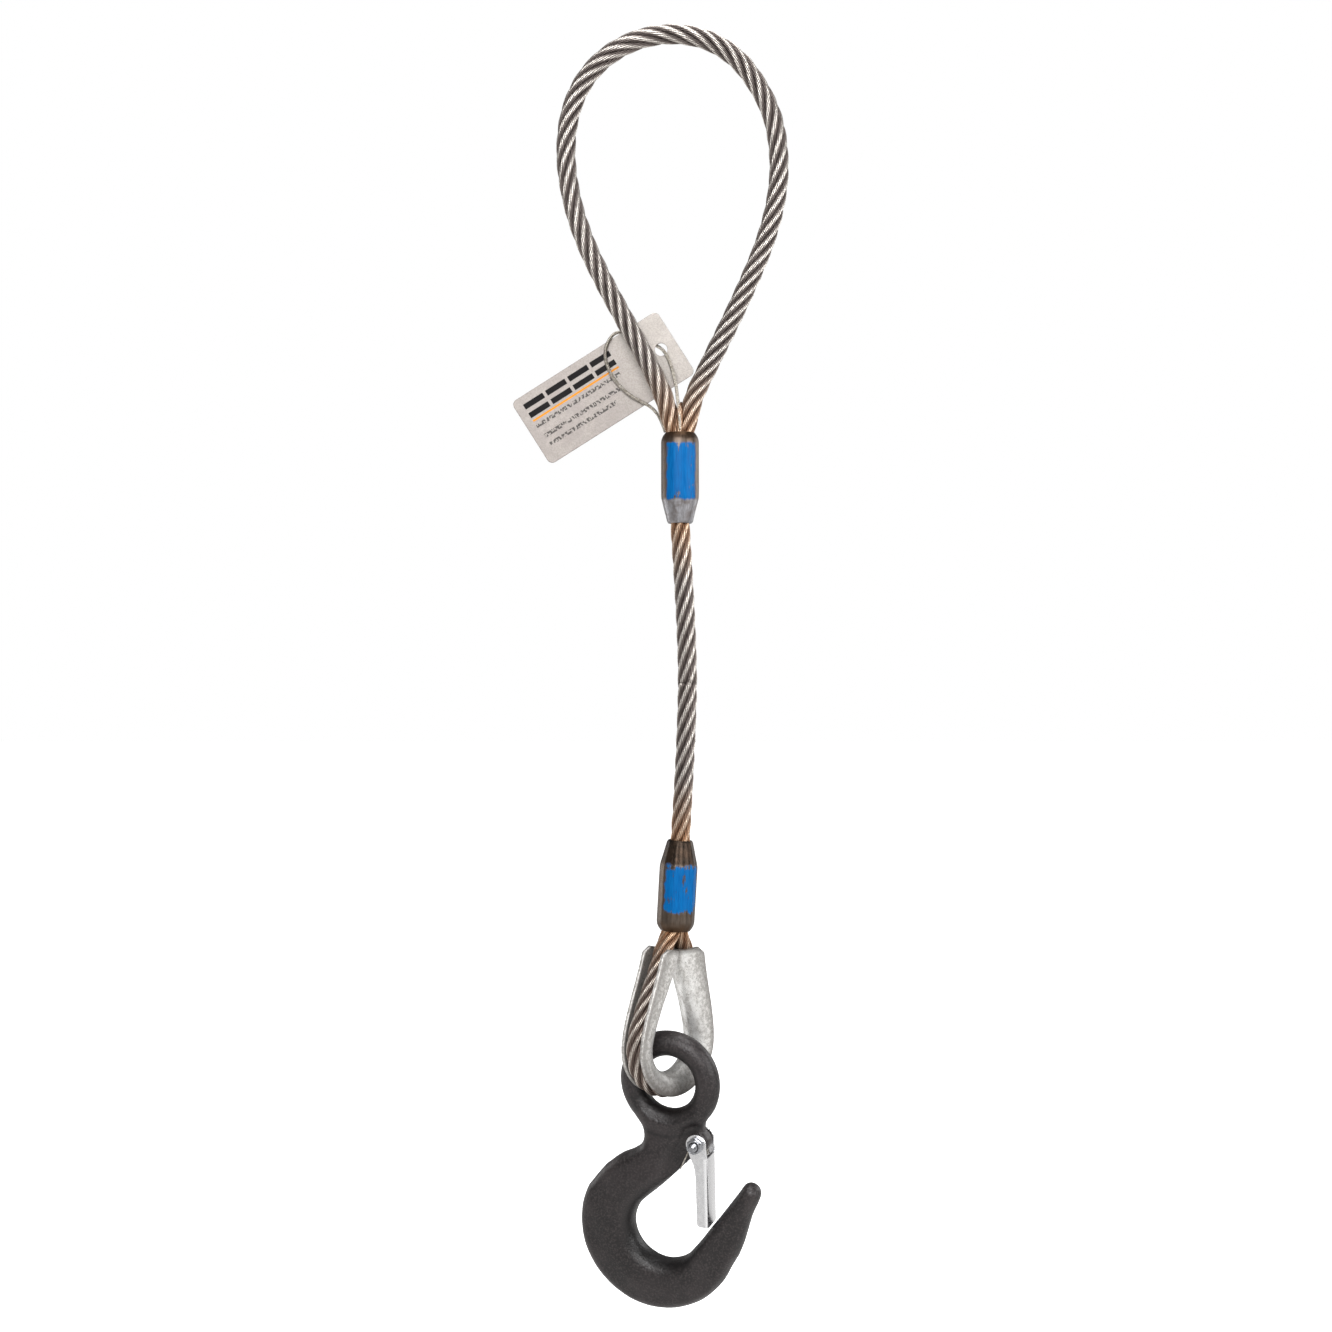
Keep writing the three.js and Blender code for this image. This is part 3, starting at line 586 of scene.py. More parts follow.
def make_body_rope():
    """The rope between the sleeves, in two pieces that meet where nothing bends."""
    route = bend_through(standing(BODY_ROUTE), ROPE_STEP)
    seam = int(np.argmin(np.abs(route[:, 2] - SEAM_Z)))
    lengths = [
        ("body_rope_upper", slice(0, seam + 1), ("soft_eye_end", "rope_mid"), BEND_SIDE_Z,
         ("rope_upper", "rope_middle")),
        ("body_rope_lower", slice(seam, None), ("rope_mid", "thimble_end"), BEND_FORE_Z, ("rope_lower",)),
    ]
    run = run_along(route)
    for name, part, bodies, z, nodes in lengths:
        line = route[part]
        # the lower length's strands start at the turn where the upper one's end
        points, faces, lay = lay_up(line, FRONT, ROPE_R, LAY, 0.9 + 2 * math.pi * run[part][0] / LAY)
        lay[:, 2] = near(points, [-236, -400], 34) ** 1.2
        made = piece(name, points, faces, {"lay": lay})
        bend = (*bodies, (0.0065, 0, (z + BEND_HALF) * MM), (0.0065, 0, (z - BEND_HALF) * MM))
        dress(made, rope_steel, bend, "wire_rope", *nodes)


make_cable()
make_eye_rope()
make_body_rope()


# A strand of the split rope that crosses the throat of the soft eye, and its mate behind.
def make_throat_strands():
    parts, notes = [], []
    for points in (
        [[3.7, -3.4, -204], [3.8, -3.4, -195], [3.9, -3.2, -188], [3.7, -2.4, -183], [3.2, -0.4, -179]],
        [[4.2, 3.4, -204], [4.1, 3.4, -195], [3.9, 3.2, -188], [4.1, 2.4, -183], [4.6, 0.4, -179]],
    ):
        y = points[0][1]
        line = bend_through(points, 1.2)
        ahead, across, up = carried(line, FRONT)
        run = 1.2 * np.arange(len(line))
        theta = -0.2 * run[:, None] + round_steps(4 * WIRES)[None, :]
        taper = np.clip((line[:, 2] + 178.0) / -5.0, 0.3, 1)
        r = 1.62 * taper[:, None] * np.tile(WIRE_PROFILE, WIRES)[None, :]
        parts.append(tube(line, across, up, r, theta))
        crown = 0.62 + 0.38 * np.cos(theta) * (1 if y < 0 else -1)
        notes.append(point_notes(crown, np.tile(WIRE_LOBE, WIRES), 0.8))
    points, faces = together(parts)
    made = piece("throat_strands", points, faces, {"lay": np.vstack(notes)})
    dress(made, rope_steel, "soft_eye_end", "wire_rope")


make_throat_strands()


# ---------------------------------------------------------------- sleeves
SLEEVE_LENGTH = 45.2
LEAN = math.radians(3.3)  # everything below the lower bend hangs this much to the left
# Radius and height of the sleeve's wall, round its rim from inside the mouth and back up the bore.
SLEEVE_WALL = [
    (6.7, -1.2), (6.75, -0.35), (7.1, 0.0), (7.5, -0.12), (8.3, -1.5), (8.9, -2.8), (9.12, -3.6), (9.25, -4.8),
    (9.25, -12.0), (9.25, -20.0), (9.25, -28.0), (9.22, -31.8), (9.08, -33.0), (8.75, -34.4), (7.9, -37.8),
    (7.05, -41.2), (6.35, -44.1), (6.05, -45.0), (5.8, -45.2), (5.4, -45.1), (5.25, -44.6), (5.25, -41.2),
    (7.0, -33.0), (7.0, -3.5),
]


def leaned(x, y, z):
    return np.stack([x * math.cos(LEAN) + z * math.sin(LEAN), y, z * math.cos(LEAN) - x * math.sin(LEAN)], -1)


def turn_sleeve(dies, seed, paint_turn):
    """The wall with the long facets that the dies leave. Mouth at height nought, paint turned round it."""
    columns = 144
    angles = round_steps(columns)
    wall = np.array(SLEEVE_WALL)
    chance = np.random.default_rng(seed)
    radii = []
    for row, (r, _) in enumerate(wall):
        outside = 4 <= row <= 16
        facets = dies * (np.cos(10 * angles + 0.6) + 0.5 * np.cos(17 * angles + 1.9)) if outside else 0
        seam = 0.16 * np.exp(-((np.abs(np.sin(angles)) / 0.05) ** 2)) if outside else 0
        radii.append(r + facets + seam + (0.02 * chance.standard_normal(columns) if outside else 0 * angles))
    points, faces = skin_rings(turned(radii, wall[:, 1], angles), capped=False)
    last = (len(wall) - 1) * columns
    for i in range(columns):
        j = (i + 1) % columns
        faces.append([last + i, last + j, j, i])
    around = np.tile(angles, len(wall)) - math.radians(paint_turn)
    return points, faces, point_notes(-np.sin(around), np.cos(around), np.repeat(wall[:, 1], columns))


def make_sleeves():
    points, faces, wrap = turn_sleeve(0.03, 3, 4)
    upper = piece("upper_sleeve_swaged", points + np.array(UPPER_MOUTH), faces, {"wrap": wrap}, 40)
    finish = painted_sleeve("blue_sleeve_upper", -33.9, -5.4, 0.62, 1.3, 0.6,
                            ("4b423c", "7b7068"), ("6a6462", "babcc2"))
    dress(upper, finish, "soft_eye_end", "sleeve_blue", "upper_sleeve")
    points, faces, wrap = turn_sleeve(0.1, 8, -20)
    points = points * np.array([1, -1, -1])  # turned over: the mouth is below
    points[:, 2] -= SLEEVE_LENGTH
    wrap[:, 0] = -wrap[:, 0]
    placed = leaned(*points.T) + np.array([4.1, 0, -398])
    lower = piece("lower_sleeve_swaged", placed, faces, {"wrap": wrap}, 40)
    finish = painted_sleeve("blue_sleeve_lower", -33.5, -9.5, 0.45, 2.6, 0.7,
                            ("443a33", "7b7066"), ("241e1b", "463c34"))
    dress(lower, finish, "thimble_end", "sleeve_blue", "lower_sleeve")


make_sleeves()

# ---------------------------------------------------------------- thimble and its rope
CHANNEL_R, GROOVE_R = 8.0, 5.35  # round of the thimble's back, and of the groove the rope lies in
CROWN_R = 22.25
CROWN_Z = -499.4
THIMBLE_FOOT = np.array([-1.9, 0, CROWN_Z])
THIMBLE_SIDE = [[7.4, -451.5], [8.4, -457], [11.6, -466], [16.2, -477.3], [19.3, -486]]
THIMBLE_TURN = math.radians(45)


def thimble_place(points):
    """From the thimble's own plane, out and thick and up, to where it hangs."""
    out, thick, up = points[..., 0], points[..., 1], points[..., 2] - CROWN_Z
    x = out * math.cos(THIMBLE_TURN) - thick * math.sin(THIMBLE_TURN)
    y = out * math.sin(THIMBLE_TURN) + thick * math.cos(THIMBLE_TURN)
    return THIMBLE_FOOT + leaned(x, y, up)


def teardrop():
    """Middle of the rope, from the left tip round the crown to the right tip, as out and up."""
    crown = arc((0, CROWN_Z), CROWN_R, -90, 14, 8)
    right = np.vstack([crown, np.array(THIMBLE_SIDE)[::-1]])
    left = right[:0:-1] * np.array([-1, 1])
    return np.vstack([left, right])


def make_thimble():
    line = bend_through([[x, 0, z] for x, z in teardrop()], 0.8)
    ahead = unit(np.gradient(line, axis=0))
    thick = np.broadcast_to([0.0, -1.0, 0.0], ahead.shape)
    outward = np.cross(ahead, thick)
    outward = np.where(((line - [0, 0, CROWN_Z + 12]) * outward).sum(1, keepdims=True) > 0, outward, -outward)
    run = np.linspace(0, run_length(line), len(line))
    from_tip = np.minimum(run, run[-1] - run)
    back = arc((0, 0), CHANNEL_R, 0, -180, 36)
    groove = arc((0, 0), GROOVE_R, -180, 0, 28)
    sections = []
    for tip in from_tip:
        # the sides of the channel stand taller towards the tips, and their last corners are cut off
        lip = float(np.interp(tip, [0, 3.5, 7, 26, 48], [3.2, 7.0, 7.0, 5.0, 3.3]))
        rim = 1.25
        corner_out = arc((CHANNEL_R - rim, lip - rim), rim, 0, 90, 5)
        corner_in = arc((GROOVE_R + rim, lip - rim), rim, 90, 180, 5)
        right = np.vstack([corner_in[::-1], corner_out[::-1]])
        left = right[::-1] * np.array([-1, 1])
        sections.append(np.vstack([right, back, left, groove]))
    sections = np.array(sections)
    rings = line[:, None] + sections[..., :1] * thick[:, None] + sections[..., 1:] * outward[:, None]
    points, faces = skin_rings(rings)
    flat = sections.reshape(-1, 2)
    # the first note: the back, where streaks are rubbed bright and carry a painted highlight
    on_back = np.clip(-flat[:, 1] / CHANNEL_R, 0, 1) * (np.linalg.norm(flat, axis=1) > 7)
    # the second note darkens the zinc towards the bottom of the crown
    low = np.clip((CROWN_Z - 4 - rings.reshape(-1, 3)[:, 2]) / 18, 0, 1)
    tips = np.repeat(ease(from_tip, 3.0, 0.0), sections.shape[1])
    # the third note: painted shade in the groove under the rope, darker along the lip edges and at the tips
    in_groove = (np.linalg.norm(flat, axis=1) < 5.6) | ((np.abs(flat[:, 0]) < 5.6) & (flat[:, 1] > 0))
    lip_edge = (flat[:, 1] > 0) & (np.abs(flat[:, 0]) > 7.6)
    rub = point_notes(on_back, low, np.clip(1.3 * in_groove + 0.9 * lip_edge + 1.2 * tips, 0, 1.4))
    made = piece("thimble_channel", thimble_place(points), faces, {"rub": rub}, 50)
    dress(made, galvanised_steel(), "thimble_end", "thimble_zinc", "thimble")


def make_thimble_rope():
    drop = teardrop()
    mouth = [[2.9, -443.4], [2.6, -431.4]]
    left = [[-x, z] for x, z in mouth[::-1]]
    line = bend_through([[x, 0, z] for x, z in [*left, *drop, *mouth]], ROPE_STEP)
    points, faces, lay = lay_up(line, (0, -1, 0), ROPE_R, LAY, 2.2)
    points = pressed(points, (0, 0, -443.4), (0, 0, -1), 7.0, 0.5)
    grease = near(points, [-440], 26) ** 1.2
    lay[:, 2] = np.clip(grease + 0.15, 0, 1)
    made = piece("thimble_strands", thimble_place(points), faces, {"lay": lay})
    dress(made, rope_steel, "thimble_end", "wire_rope", "thimble_rope")


make_thimble()
make_thimble_rope()

# ---------------------------------------------------------------- hook
HOOK_EYE = np.array([-0.9, 0, -518.9])
HOOK_YAW, HOOK_PITCH, HOOK_ROLL = (math.radians(a) for a in (21, 6, 3.3))
BOLT = np.array([16.5, -28.1])


def hook_axes():
    """The hook's own directions: across and up in its plane, and out of it towards the front."""
    sin, cos = math.sin, math.cos
    right = np.array([cos(HOOK_YAW), -sin(HOOK_YAW), 0])
    near_side = np.array([-sin(HOOK_YAW) * cos(HOOK_PITCH), -cos(HOOK_YAW) * cos(HOOK_PITCH), -sin(HOOK_PITCH)])
    up = np.cross(near_side, right)
    across = cos(HOOK_ROLL) * right - sin(HOOK_ROLL) * up
    along = sin(HOOK_ROLL) * right + cos(HOOK_ROLL) * up
    return np.array([across, along, near_side])


HOOK_AXES = hook_axes()


def hook_place(points, at=(0, 0)):
    """From the hook's own plane, across and up and towards the front, to where it hangs."""
    return HOOK_EYE + (np.asarray(points, float) + [at[0], at[1], 0]) @ HOOK_AXES


BOWL, BOWL_R = (-0.7, -75.2), 18.4
BACK, BACK_R = (-4.5, -76.1), 41.1
TIP, TIP_R = (43.4, -51.2), 4.4
INSIDE_EDGE = np.vstack([
    [[18.6, -10], [18.6, -22.5]], arc(BOLT, 5, 35, -80, 12), [[13.4, -36.1]],
    arc(BOWL, BOWL_R, 134.5, 318, 60), arc(TIP, TIP_R, 126, 53, 8),
])
OUTSIDE_EDGE = np.vstack([
    arc(TIP, TIP_R, 53, -20, 8),
    bend_through([[46.6, -55.4], [44.1, -61.1], [42.1, -67.8], [40, -76.2], [37.4, -83.8]], 1.5),
    arc(BACK, BACK_R, -25, -204, 90),
    bend_through([[-33, -47.6], [-26, -41.9], [-19, -37.9], [-14.2, -34], [-12.4, -30],
                  [-12.6, -26], [-15.7, -19]], 1.2),
    [[-14, -10]],
])


def distance_to(edge, spots):
    """Shortest distance from each spot to a line of straight pieces."""
    best = np.full(len(spots), 1e9)
    for a, b in zip(edge, edge[1:]):
        run = b - a
        t = np.clip(((spots - a) @ run) / max(run @ run, 1e-12), 0, 1)
        best = np.minimum(best, np.linalg.norm(spots - a - t[:, None] * run, axis=1))
    return best


def within(loop, spots):
    inside = np.zeros(len(spots), bool)
    for (ax, ay), (bx, by) in zip(loop, np.roll(loop, -1, axis=0)):
        crosses = (ay > spots[:, 1]) != (by > spots[:, 1])
        slope = (bx - ax) * (spots[:, 1] - ay) / (by - ay if by != ay else 1e-12) + ax
        inside ^= crosses & (spots[:, 0] < slope)
    return inside


def soft_least(a, b, k):
    h = np.clip(0.5 + 0.5 * (b - a) / k, 0, 1)
    return b * (1 - h) + a * h - k * h * (1 - h)


def forging_plan(spots):
    """What the hook's thickness needs at each spot of its plane."""
    to_inside = distance_to(INSIDE_EDGE, spots)
    to_outside = distance_to(OUTSIDE_EDGE, spots)
    inside = within(np.vstack([INSIDE_EDGE, OUTSIDE_EDGE]), spots)
    depth = np.where(inside, 1, -1) * np.minimum(to_inside, to_outside)
    a, b = 1 / (to_inside + 0.3) ** 2, 1 / (to_outside + 0.3) ** 2
    share = a / (a + b)
    x, y = spots[:, 0], spots[:, 1]
    bowl = ease(y, -36, -52) * ease(x, 22, 4)
    grow = share * (0.25 + 0.95 * bowl) + (1 - share) * 0.45 + 0.5 * ease(x, 34, 42)
    tipward = ease(x, 14, 42)
    inner_round = 4.6 + 4.6 * bowl * (1 - tipward)
    outer_round = 5.2 - 0.7 * tipward
    rounding = share * inner_round + (1 - share) * outer_round
    half = np.interp(-y, [5, 24, 36, 50, 125], [6.0, 6.2, 7.4, 8.7, 8.7])
    half = np.minimum(half, np.interp(x, [-60, 12, 26, 52], [8.7, 8.7, 7.3, 5.2]))
    # the forging is fattest beside the bowl and draws in towards the back
    half = half - 1.1 * ease(to_inside, 10, 24) * ease(y, -36, -56) * (1 - tipward)
    ring = np.hypot(x, y) - 19.9
    fold = np.array([7.9, -42.5]) - BOLT
    t = np.clip(((spots - BOLT) @ fold) / (fold @ fold), 0, 1)
    relief = np.linalg.norm(spots - BOLT - t[:, None] * fold, axis=1) - (8.6 - 2.4 * t)
    bolt_hole = np.hypot(*(spots - BOLT).T) - 2.3
    lug = np.hypot(*(spots - BOLT).T) - 5.0
    return depth + grow, rounding, half, ring, relief, bolt_hole, lug


def forging_depth(plan, c):
    """Signed distance to the forging's skin, negative inside, at height c over its middle plane."""
    depth, rounding, half, ring, relief, bolt_hole, lug = plan
    edge = np.clip(1 - depth / rounding, 0, None)
    body = ((np.abs(c) / half) ** 2.3 + edge ** 2.3) ** (1 / 2.3) - 1
    body = body * np.minimum(half, rounding)
    eye = np.hypot(ring, c) - 6.25
    # the neck stops at the middle of the eye's bar, so the eye stays open
    skin = soft_least(np.maximum(body, -ring), eye, 2.2)
    # the lug is thin: both its sides are let in, with sloping banks, for the latch's ears
    bank = (np.abs(c) - 3.9 - 0.9 * np.maximum(relief, 0)) * 0.75
    skin = -soft_least(-skin, -bank, 1.4)
    cheek = np.maximum(lug, np.abs(c) - 3.9)
    skin = soft_least(skin, cheek, 0.8)
    return np.maximum(skin, -bolt_hole)


def cast_skin(low, high, pitch):
    """A closed skin round the forging: one corner per cell that its surface crosses."""
    xs, ys, zs = (np.arange(a, b + pitch, pitch) for a, b in zip(low, high))
    spots = np.stack(np.meshgrid(xs, ys, indexing="ij"), -1).reshape(-1, 2)
    plan = [p.reshape(len(xs), len(ys), 1) for p in forging_plan(spots)]
    field = forging_depth(plan, zs[None, None, :])
    inside = field < 0
    shape = np.array(field.shape) - 1
    total, count = np.zeros((shape.prod(), 3)), np.zeros(shape.prod())
    quads = []
    origin = np.array([xs[0], ys[0], zs[0]])
    for axis in range(3):
        step = np.eye(3, dtype=int)[axis]
        here = tuple(slice(0, n - s) for n, s in zip(field.shape, step))
        there = tuple(slice(s, n) for n, s in zip(field.shape, step))
        f0, f1 = field[here], field[there]
        cells = np.argwhere(inside[here] != inside[there])
        a, b = f0[tuple(cells.T)], f1[tuple(cells.T)]
        cross = cells + (a / (a - b))[:, None] * step
        u, v = (np.eye(3, dtype=int)[(axis + k) % 3] for k in (1, 2))
        ids = []
        for shift in (0 * u, u, u + v, v):
            cell = cells - shift
            index = np.ravel_multi_index(np.clip(cell, 0, shape - 1).T, shape)
            np.add.at(total, index, cross)
            np.add.at(count, index, 1)
            ids.append(index)
        quad = np.stack(ids, -1)
        outward = a < 0
        quad[~outward] = quad[~outward][:, ::-1]
        quads.append(quad)
    quads = np.vstack(quads)
    used, faces = np.unique(quads, return_inverse=True)
    points = origin + pitch * total[used] / count[used][:, None]
    return points, faces.reshape(quads.shape)


def make_hook():
    points, faces = cast_skin((-49, -120, -10), (52, 28, 10), 0.9)

    def measure(p):
        return forging_depth(forging_plan(p[:, :2]), p[:, 2])

    for _ in range(2):
        value = measure(points)
        slope = np.stack([(measure(points + d) - measure(points - d)) / 0.2 for d in 0.1 * np.eye(3)], -1)
        points = points - np.clip(value / np.maximum((slope**2).sum(1), 0.2), -0.4, 0.4)[:, None] * slope
    x, y, z = points.T
    # hammer and die leave it slightly uneven
    wave = 0.10 * np.sin(x / 5.1 + y / 7.3) * np.sin(y / 6.1 - z / 5.0 + 1.3)
    wave = wave + 0.05 * np.sin(x / 2.3 - 1) * np.sin(y / 2.9 + z)
    points = points + wave[:, None] * unit(slope)
    plan = forging_plan(points[:, :2])
    to_inside = distance_to(INSIDE_EDGE, points[:, :2])
    bowl = ease(y, -34, -46)
    uneven = 0.5 + 0.5 * np.sin(x / 6.3 + 1.1) * np.sin(y / 8.7 + 0.4)
    # painted highlight along the ridge beside the bowl and along the outer edges; the same note places the pale
    # scuffs
    ridge = np.clip(1 - np.abs(to_inside - 7.5) / 2.2, 0, 1) * bowl * (plan[0] < to_inside + 0.2)
    outer_edge = np.clip(1 - np.abs(plan[0] - 2.5) / 2.5, 0, 1) * (plan[0] < to_inside - 0.2)
    ridge_highlight_and_scuffs = (0.5 * ridge + 0.45 * outer_edge) * uneven
    relief = plan[4]
    # painted shade, near black, on the flank that faces into the bowl, inside the eye, and in the latch's
    # pocket
    facing = unit(slope)
    into_bowl = unit(np.array(BOWL) - points[:, :2])
    flank = np.clip(((facing[:, :2] * into_bowl).sum(1) - 0.25) / 0.5, 0, 1) * ease(to_inside, 10, 6) * bowl
    to_middle = -(facing[:, :2] * unit(points[:, :2])).sum(1)
    inside_eye = np.clip((to_middle - 0.3) / 0.5, 0, 1) * ease(plan[3], 4, 0)
    painted_shade_mask = 0.25 * (relief < 0.5) * (np.abs(z) > 3) + 0.85 * flank + 0.8 * inside_eye
    # a painted shadow line along the crease where the eye's fillet meets the neck
    neck_crease_shade = np.exp(-(((np.hypot(x, y) - 26.3) / 0.9) ** 2)) * (y < -16) * (np.abs(z) > 2) * 0.75
    painted_shade_mask = np.clip(painted_shade_mask + neck_crease_shade, 0, 1)
    forge = point_notes(0.35 + 0.65 * ridge_highlight_and_scuffs, painted_shade_mask, 0.0)
    made = piece("hook_forging", hook_place(points), faces.tolist(), {"forge": forge})
    dress(made, forging_oxide(), "hook_body", "forged_black", "hook")


make_hook()


# ---------------------------------------------------------------- latch, bolt, nut and spring
def stamped(outline, holes, thickness, edge):
    """A flat plate with rounded edges, lying on its middle plane: points and faces."""
    drawing = bpy.data.curves.new("stamping", "CURVE")
    drawing.dimensions = "2D"
    drawing.fill_mode = "BOTH"
    drawing.extrude = thickness / 2 - edge
    drawing.bevel_depth = edge
    drawing.bevel_resolution = 2
    drawing.offset = -edge
    for loop in [outline, *holes]:
        spline = drawing.splines.new("POLY")
        spline.points.add(len(loop) - 1)
        corners = np.column_stack([loop, np.zeros(len(loop)), np.ones(len(loop))])
        spline.points.foreach_set("co", corners.ravel())
        spline.use_cyclic_u = True
    holder = bpy.data.objects.new("stamping", drawing)
    mesh = bpy.data.meshes.new_from_object(holder)
    points = np.array([v.co[:] for v in mesh.vertices])
    faces = [list(p.vertices) for p in mesh.polygons]
    bpy.data.objects.remove(holder)
    return points, faces


EAR_INSIDE, SHEET = 5.5, 1.2
LATCH_END = -41.9
BEND_R = 1.6


def latch_right(y):
    """Outer face of the latch's back at that height."""
    return 5.7 + 1.7 * (y / LATCH_END)


def make_latch():
    left = bend_through([[-4.26, -2.98], [-2.9, -6.6], [-1.0, -11], [0.1, -16.5], [0.5, -24],
                         [1.3, -38.8]], 0.8)
    foot = arc((3.4, LATCH_END + 1.9), 2.1, 180, 270, 6)
    outline = np.vstack([
        arc((0, 0), 5.2, 12, 214, 40), left[1:-1], foot,
        [[latch_right(LATCH_END) - BEND_R, LATCH_END], [latch_right(-7) - BEND_R, -7],
         [latch_right(-6.6), -6.2], [5.2, -2]],
    ])
    hole = arc((0, 0), 2.3, 0, -345, 23)
    middle = EAR_INSIDE + SHEET / 2
    cheek, faces = stamped(outline, [hole], SHEET, 0.22)
    parts = [(cheek + [0, 0, middle], faces), (cheek - [0, 0, middle], faces)]
    rings = []
    for y in np.linspace(-6.4, LATCH_END, 14):
        right = latch_right(y)
        bend = EAR_INSIDE + SHEET - BEND_R
        inner = BEND_R - SHEET
        near_bend, far_bend = (right - BEND_R, bend), (right - BEND_R, -bend)
        loop = np.vstack([
            arc(near_bend, BEND_R, 90, 0, 7), arc(far_bend, BEND_R, 0, -90, 7),
            arc(far_bend, inner, -90, 0, 4), arc(near_bend, inner, 0, 90, 4),
        ])
        rings.append(np.column_stack([loop[:, 0], np.full(len(loop), y), loop[:, 1]]))
    parts.append(skin_rings(np.array(rings)))
    points, faces = together(parts)
    made = piece("latch_pressing", hook_place(points, BOLT), faces, sharp_over=35)
    dress(made, zinc_plate, "latch_body", "latch_zinc", "latch")


def turned_stack(profile, sides, flats=None):
    """A solid of revolution about the bolt: profile rows are radius and height. flats makes it a hexagon."""
    angles = round_steps(sides)
    radii, heights = np.array(profile, float).T
    radii = np.repeat(radii[:, None], sides, axis=1)
    if flats is not None:
        radii = np.minimum(radii, flats / 2 / np.cos((angles + math.pi / 6) % (math.pi / 3) - math.pi / 6))
    return skin_rings(turned(radii, heights, angles))


def make_bolt_and_nut():
    face = EAR_INSIDE + SHEET + 0.3
    thread = []
    for i in range(27):
        thread += [(2.0, face - 0.2 + 0.24 * i), (1.78, face - 0.08 + 0.24 * i)]
    shank = [(0.01, -face), (2.0, -face), *thread, (1.7, 13.0), (1.3, 13.25), (0.01, 13.25)]
    head = [(0.01, -face - 2.6), (2.6, -face - 2.6), (3.3, -face - 2.35), (4.2, -face - 1.8),
            (4.2, -face - 0.15), (3.9, -face), (0.01, -face)]
    bolt = together([turned_stack(shank, 32), turned_stack(head, 72, 7.0)])
    made = piece("latch_bolt_turned", hook_place(bolt[0], BOLT), bolt[1], sharp_over=30)
    dress(made, bolt_plate, "hook_body", "latch_zinc", "latch_bolt")
    nut = [(2.35, face + 0.15), (3.3, face + 0.02), (3.9, face + 0.35), (4.2, face + 0.6), (4.2, face + 2.6),
           (3.75, face + 3.0), (3.3, face + 3.2), (2.6, face + 3.2), (2.1, face + 2.8)]
    nut = turned_stack(nut, 72, 7.0)
    made = piece("latch_nut_turned", hook_place(nut[0], BOLT), nut[1], sharp_over=30)
    dress(made, bolt_plate, "hook_body", "latch_zinc", "latch_nut")


def wire(points, radius, step=0.25):
    line = bend_through(points, step)
    ahead, across, up = carried(line, (0.3, 0.2, 0.93))
    return tube(line, across, up, radius, round_steps(10)[None, :])


def make_spring():
    """Wound wire beside each face of the lug. The feet rest on the hook, the loop rides on the latch."""
    fixed = []
    for side in (-1, 1):
        flat = side * 4.4
        coil = []
        for i in range(49):
            angle = math.radians(180 + 720 * i / 48)
            coil.append([2.9 * math.cos(angle), 2.9 * math.sin(angle), side * (4.4 + 0.6 * i / 48)])
        foot = [[-8.6, -14.2, flat], [-6.4, -9.0, flat], [-4.2, -4.0, flat], [-3.1, -1.5, flat]]
        fixed.append(wire(foot + coil, 0.4))
    points, faces = together(fixed)
    coils = piece("spring_coils", hook_place(points, BOLT), faces)
    dress(coils, spring_steel, "hook_body", "spring_wire", "latch_spring")
    loop = [[-0.4, -3.2, 4.75], [1.6, -5.0, 4.75], [2.5, -8.2, 4.3], [2.9, -9.6, 3.0], [2.95, -10.0, 0],
            [2.9, -9.6, -3.0], [2.5, -8.2, -4.3], [1.6, -5.0, -4.75], [-0.4, -3.2, -4.75]]
    points, faces = wire(loop, 0.4)
    bridge = piece("spring_loop", hook_place(points, BOLT), faces)
    dress(bridge, spring_steel, "latch_body", "spring_wire")


make_latch()
make_bolt_and_nut()
make_spring()

# ---------------------------------------------------------------- identity tag
TAG_CENTRE = np.array([-34.65, 10.3, -170.4])
TAG_TILT = math.radians(32.4)
TAG_LENGTH, TAG_HEIGHT, TAG_THICK = 87, 37.2, 1.0


def make_tag():
    r = 3
    x, y = TAG_LENGTH / 2 - r, TAG_HEIGHT / 2 - r
    outline = np.vstack([arc((x, y), r, 0, 90, 10), arc((-x, y), r, 90, 180, 10),
                         arc((-x, -y), r, 180, 270, 10), arc((x, -y), r, 270, 360, 10)])
    hole = arc((35, 0.7), 3.2, 0, -354, 59)
    points, faces = stamped(outline, [hole], TAG_THICK, 0.18)
    along = np.array([math.cos(TAG_TILT), 0, math.sin(TAG_TILT)])
    up = np.array([-math.sin(TAG_TILT), 0, math.cos(TAG_TILT)])
    spots = TAG_CENTRE + points[:, :1] * along + points[:, 1:2] * up + points[:, 2:] * np.array([0, -1, 0])
    made = piece("id_tag_stamped", spots, faces, sharp_over=50)
    # the print is on the front only, so the back's places are moved off it
    spot = points[:, :2] + np.where(points[:, 2:] < 0, 200.0, 0.0)
    layer = made.data.uv_layers.new(name="tag_mm")
    corners = np.zeros(len(made.data.loops), np.int32)
    made.data.loops.foreach_get("vertex_index", corners)
    layer.data.foreach_set("uv", spot[corners].astype(np.float32).ravel())
    dress(made, printed_aluminium(), "tag_body", "tag_alloy", "id_tag")


make_tag()

# The tucked strands inside the sleeves keep their CAD shape and take the rope's steel.
for name in ("upper_splice", "lower_splice"):
    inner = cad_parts[name]
    inner.data.materials.clear()
    inner.data.materials.append(rope_steel)


# ---------------------------------------------------------------- studio
def studio_white():
    finish, put, place = start_finish("studio_white")
    grain = put("TexNoise", {"Vector": place, "Scale": 3.0, "Detail": 2.0})
    colour = put("Mix", {0: grain, 6: tint("f6f6f6"), 7: tint("fafafa")}, RGBA)
    return end_finish(finish, put, {
        "Base Color": colour, "Roughness": 0.9, "Emission Color": (1, 1, 1, 1), "Emission Strength": 1.0,
    })


FLOOR_Z = -720


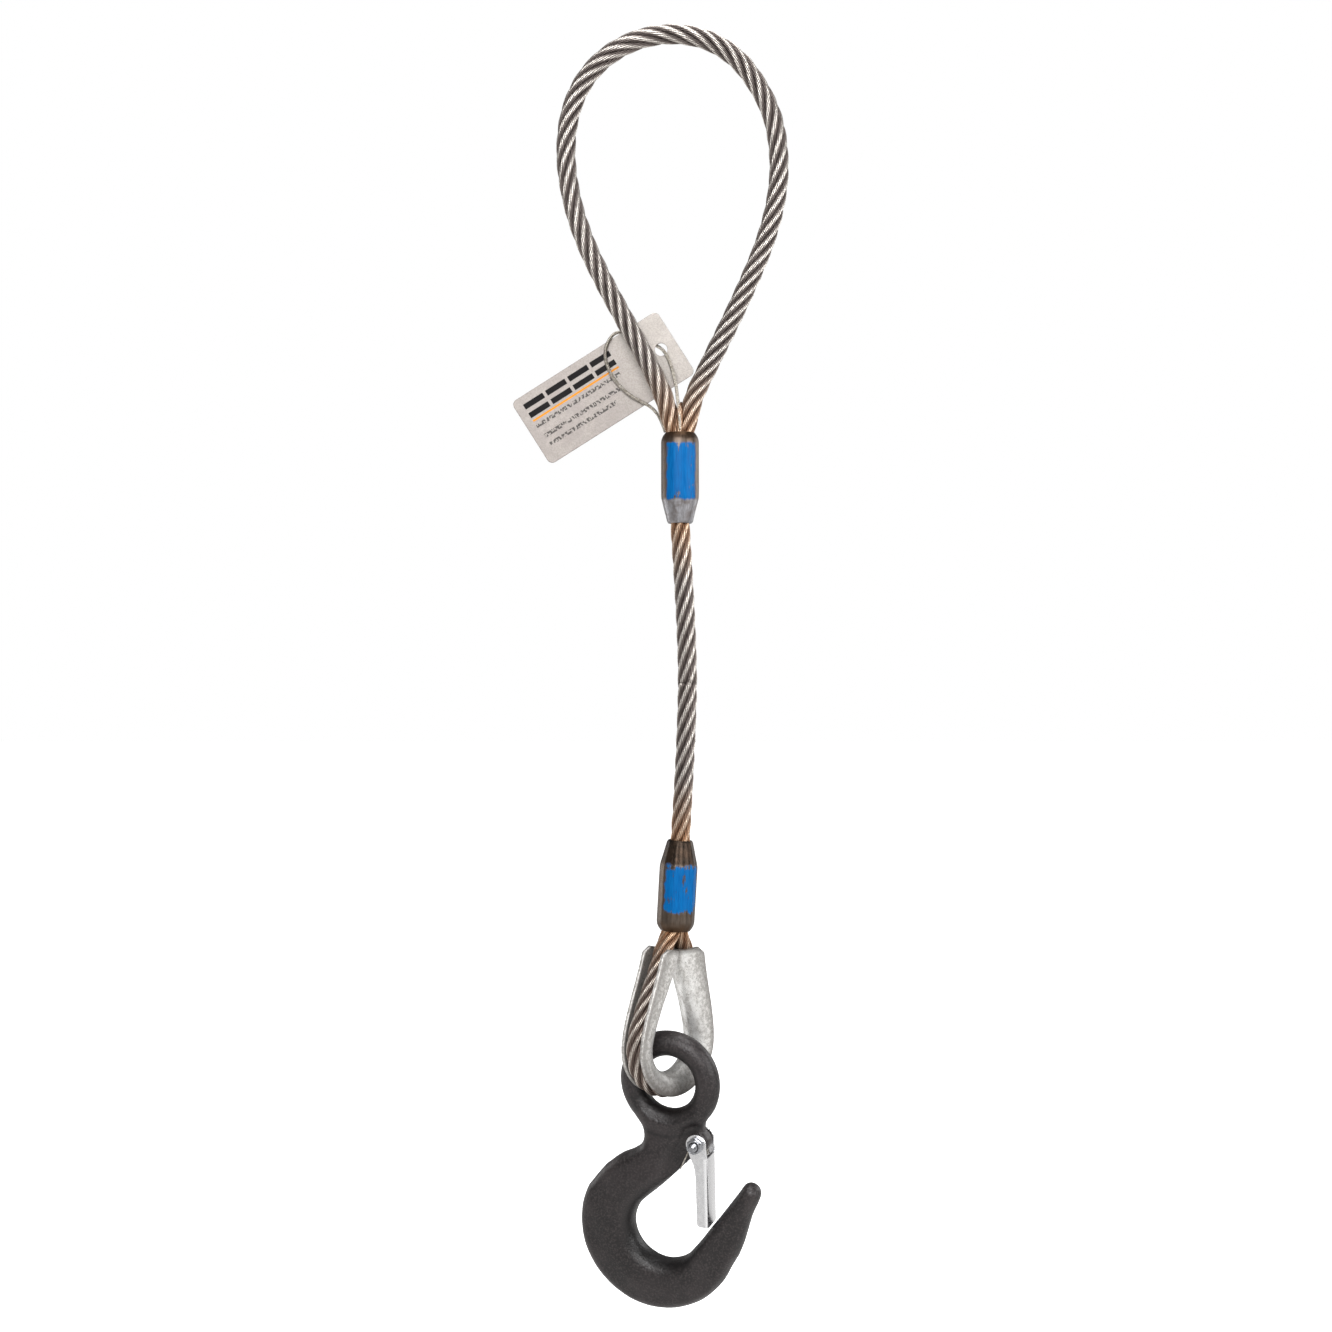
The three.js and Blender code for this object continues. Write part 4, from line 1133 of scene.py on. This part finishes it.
def make_studio():
    corners = [[x, y, FLOOR_Z] for x, y in ((-9000, -9000), (9000, -9000), (9000, 9000), (-9000, 9000))]
    floor = piece("studio_floor", corners, [[0, 1, 2, 3]])
    floor.data.materials.append(studio_white())
    # the floor is lit by itself, so it stays even to the horizon and throws no light up on the sling
    floor.visible_diffuse = False
    floor.visible_glossy = False
    for name, place, size, power in (
        ("key", (-0.25, -1.6, 0.35), 1.1, 25), ("fill", (1.4, -0.8, 0.0), 0.9, 13),
        ("top", (0.1, -0.1, 1.2), 0.9, 17),
        ("rim_left", (-1.3, 0.8, -0.3), 0.8, 4), ("rim_right", (1.2, 0.9, 0), 0.8, 5),
    ):
        lamp = bpy.data.lights.new(name, "AREA")
        lamp.size = size
        lamp.energy = power
        made = bpy.data.objects.new(name, lamp)
        made.location = place
        aim = np.array([0, 0, -0.32]) - np.array(place)
        made.rotation_euler = (math.acos(-aim[2] / np.linalg.norm(aim)), 0, math.atan2(-aim[0], aim[1]))
        bpy.context.scene.collection.objects.link(made)
    world = bpy.data.worlds.new("studio")
    bpy.context.scene.world = world
    world.use_nodes = True
    world.node_tree.nodes.clear()
    put = functools.partial(add, world.node_tree)
    seen = put("Background", {"Color": (1, 1, 1, 1), "Strength": 1.0})
    # the room is brighter below, as if the sling hung over a white table
    height = put("SeparateXYZ", {0: put("TexCoord")}).node.outputs[2]
    glow = put("MapRange", {0: height, 1: -0.6, 2: 0.2, 3: 0.95, 4: 0.24}, SMOOTH)
    # screens and gaps stand round the room, about 20 degrees wide, so that bright metal has something to mirror
    screens = put("TexNoise", {"Vector": put("TexCoord"), "Scale": 2.6})
    screens = put("MapRange", {0: screens, 1: 0.42, 2: 0.58, 3: 0.7, 4: 1.35}, SMOOTH)
    glow = put("Math", {0: glow, 1: screens}, TIMES)
    room = put("Background", {"Color": (1, 0.985, 0.97, 1), "Strength": glow})
    ray = put("LightPath")
    mixed = put("MixShader", {0: ray, 1: room, 2: seen})
    put("OutputWorld", {"Surface": mixed})
    bpy.context.scene.view_settings.view_transform = "Standard"


make_studio()
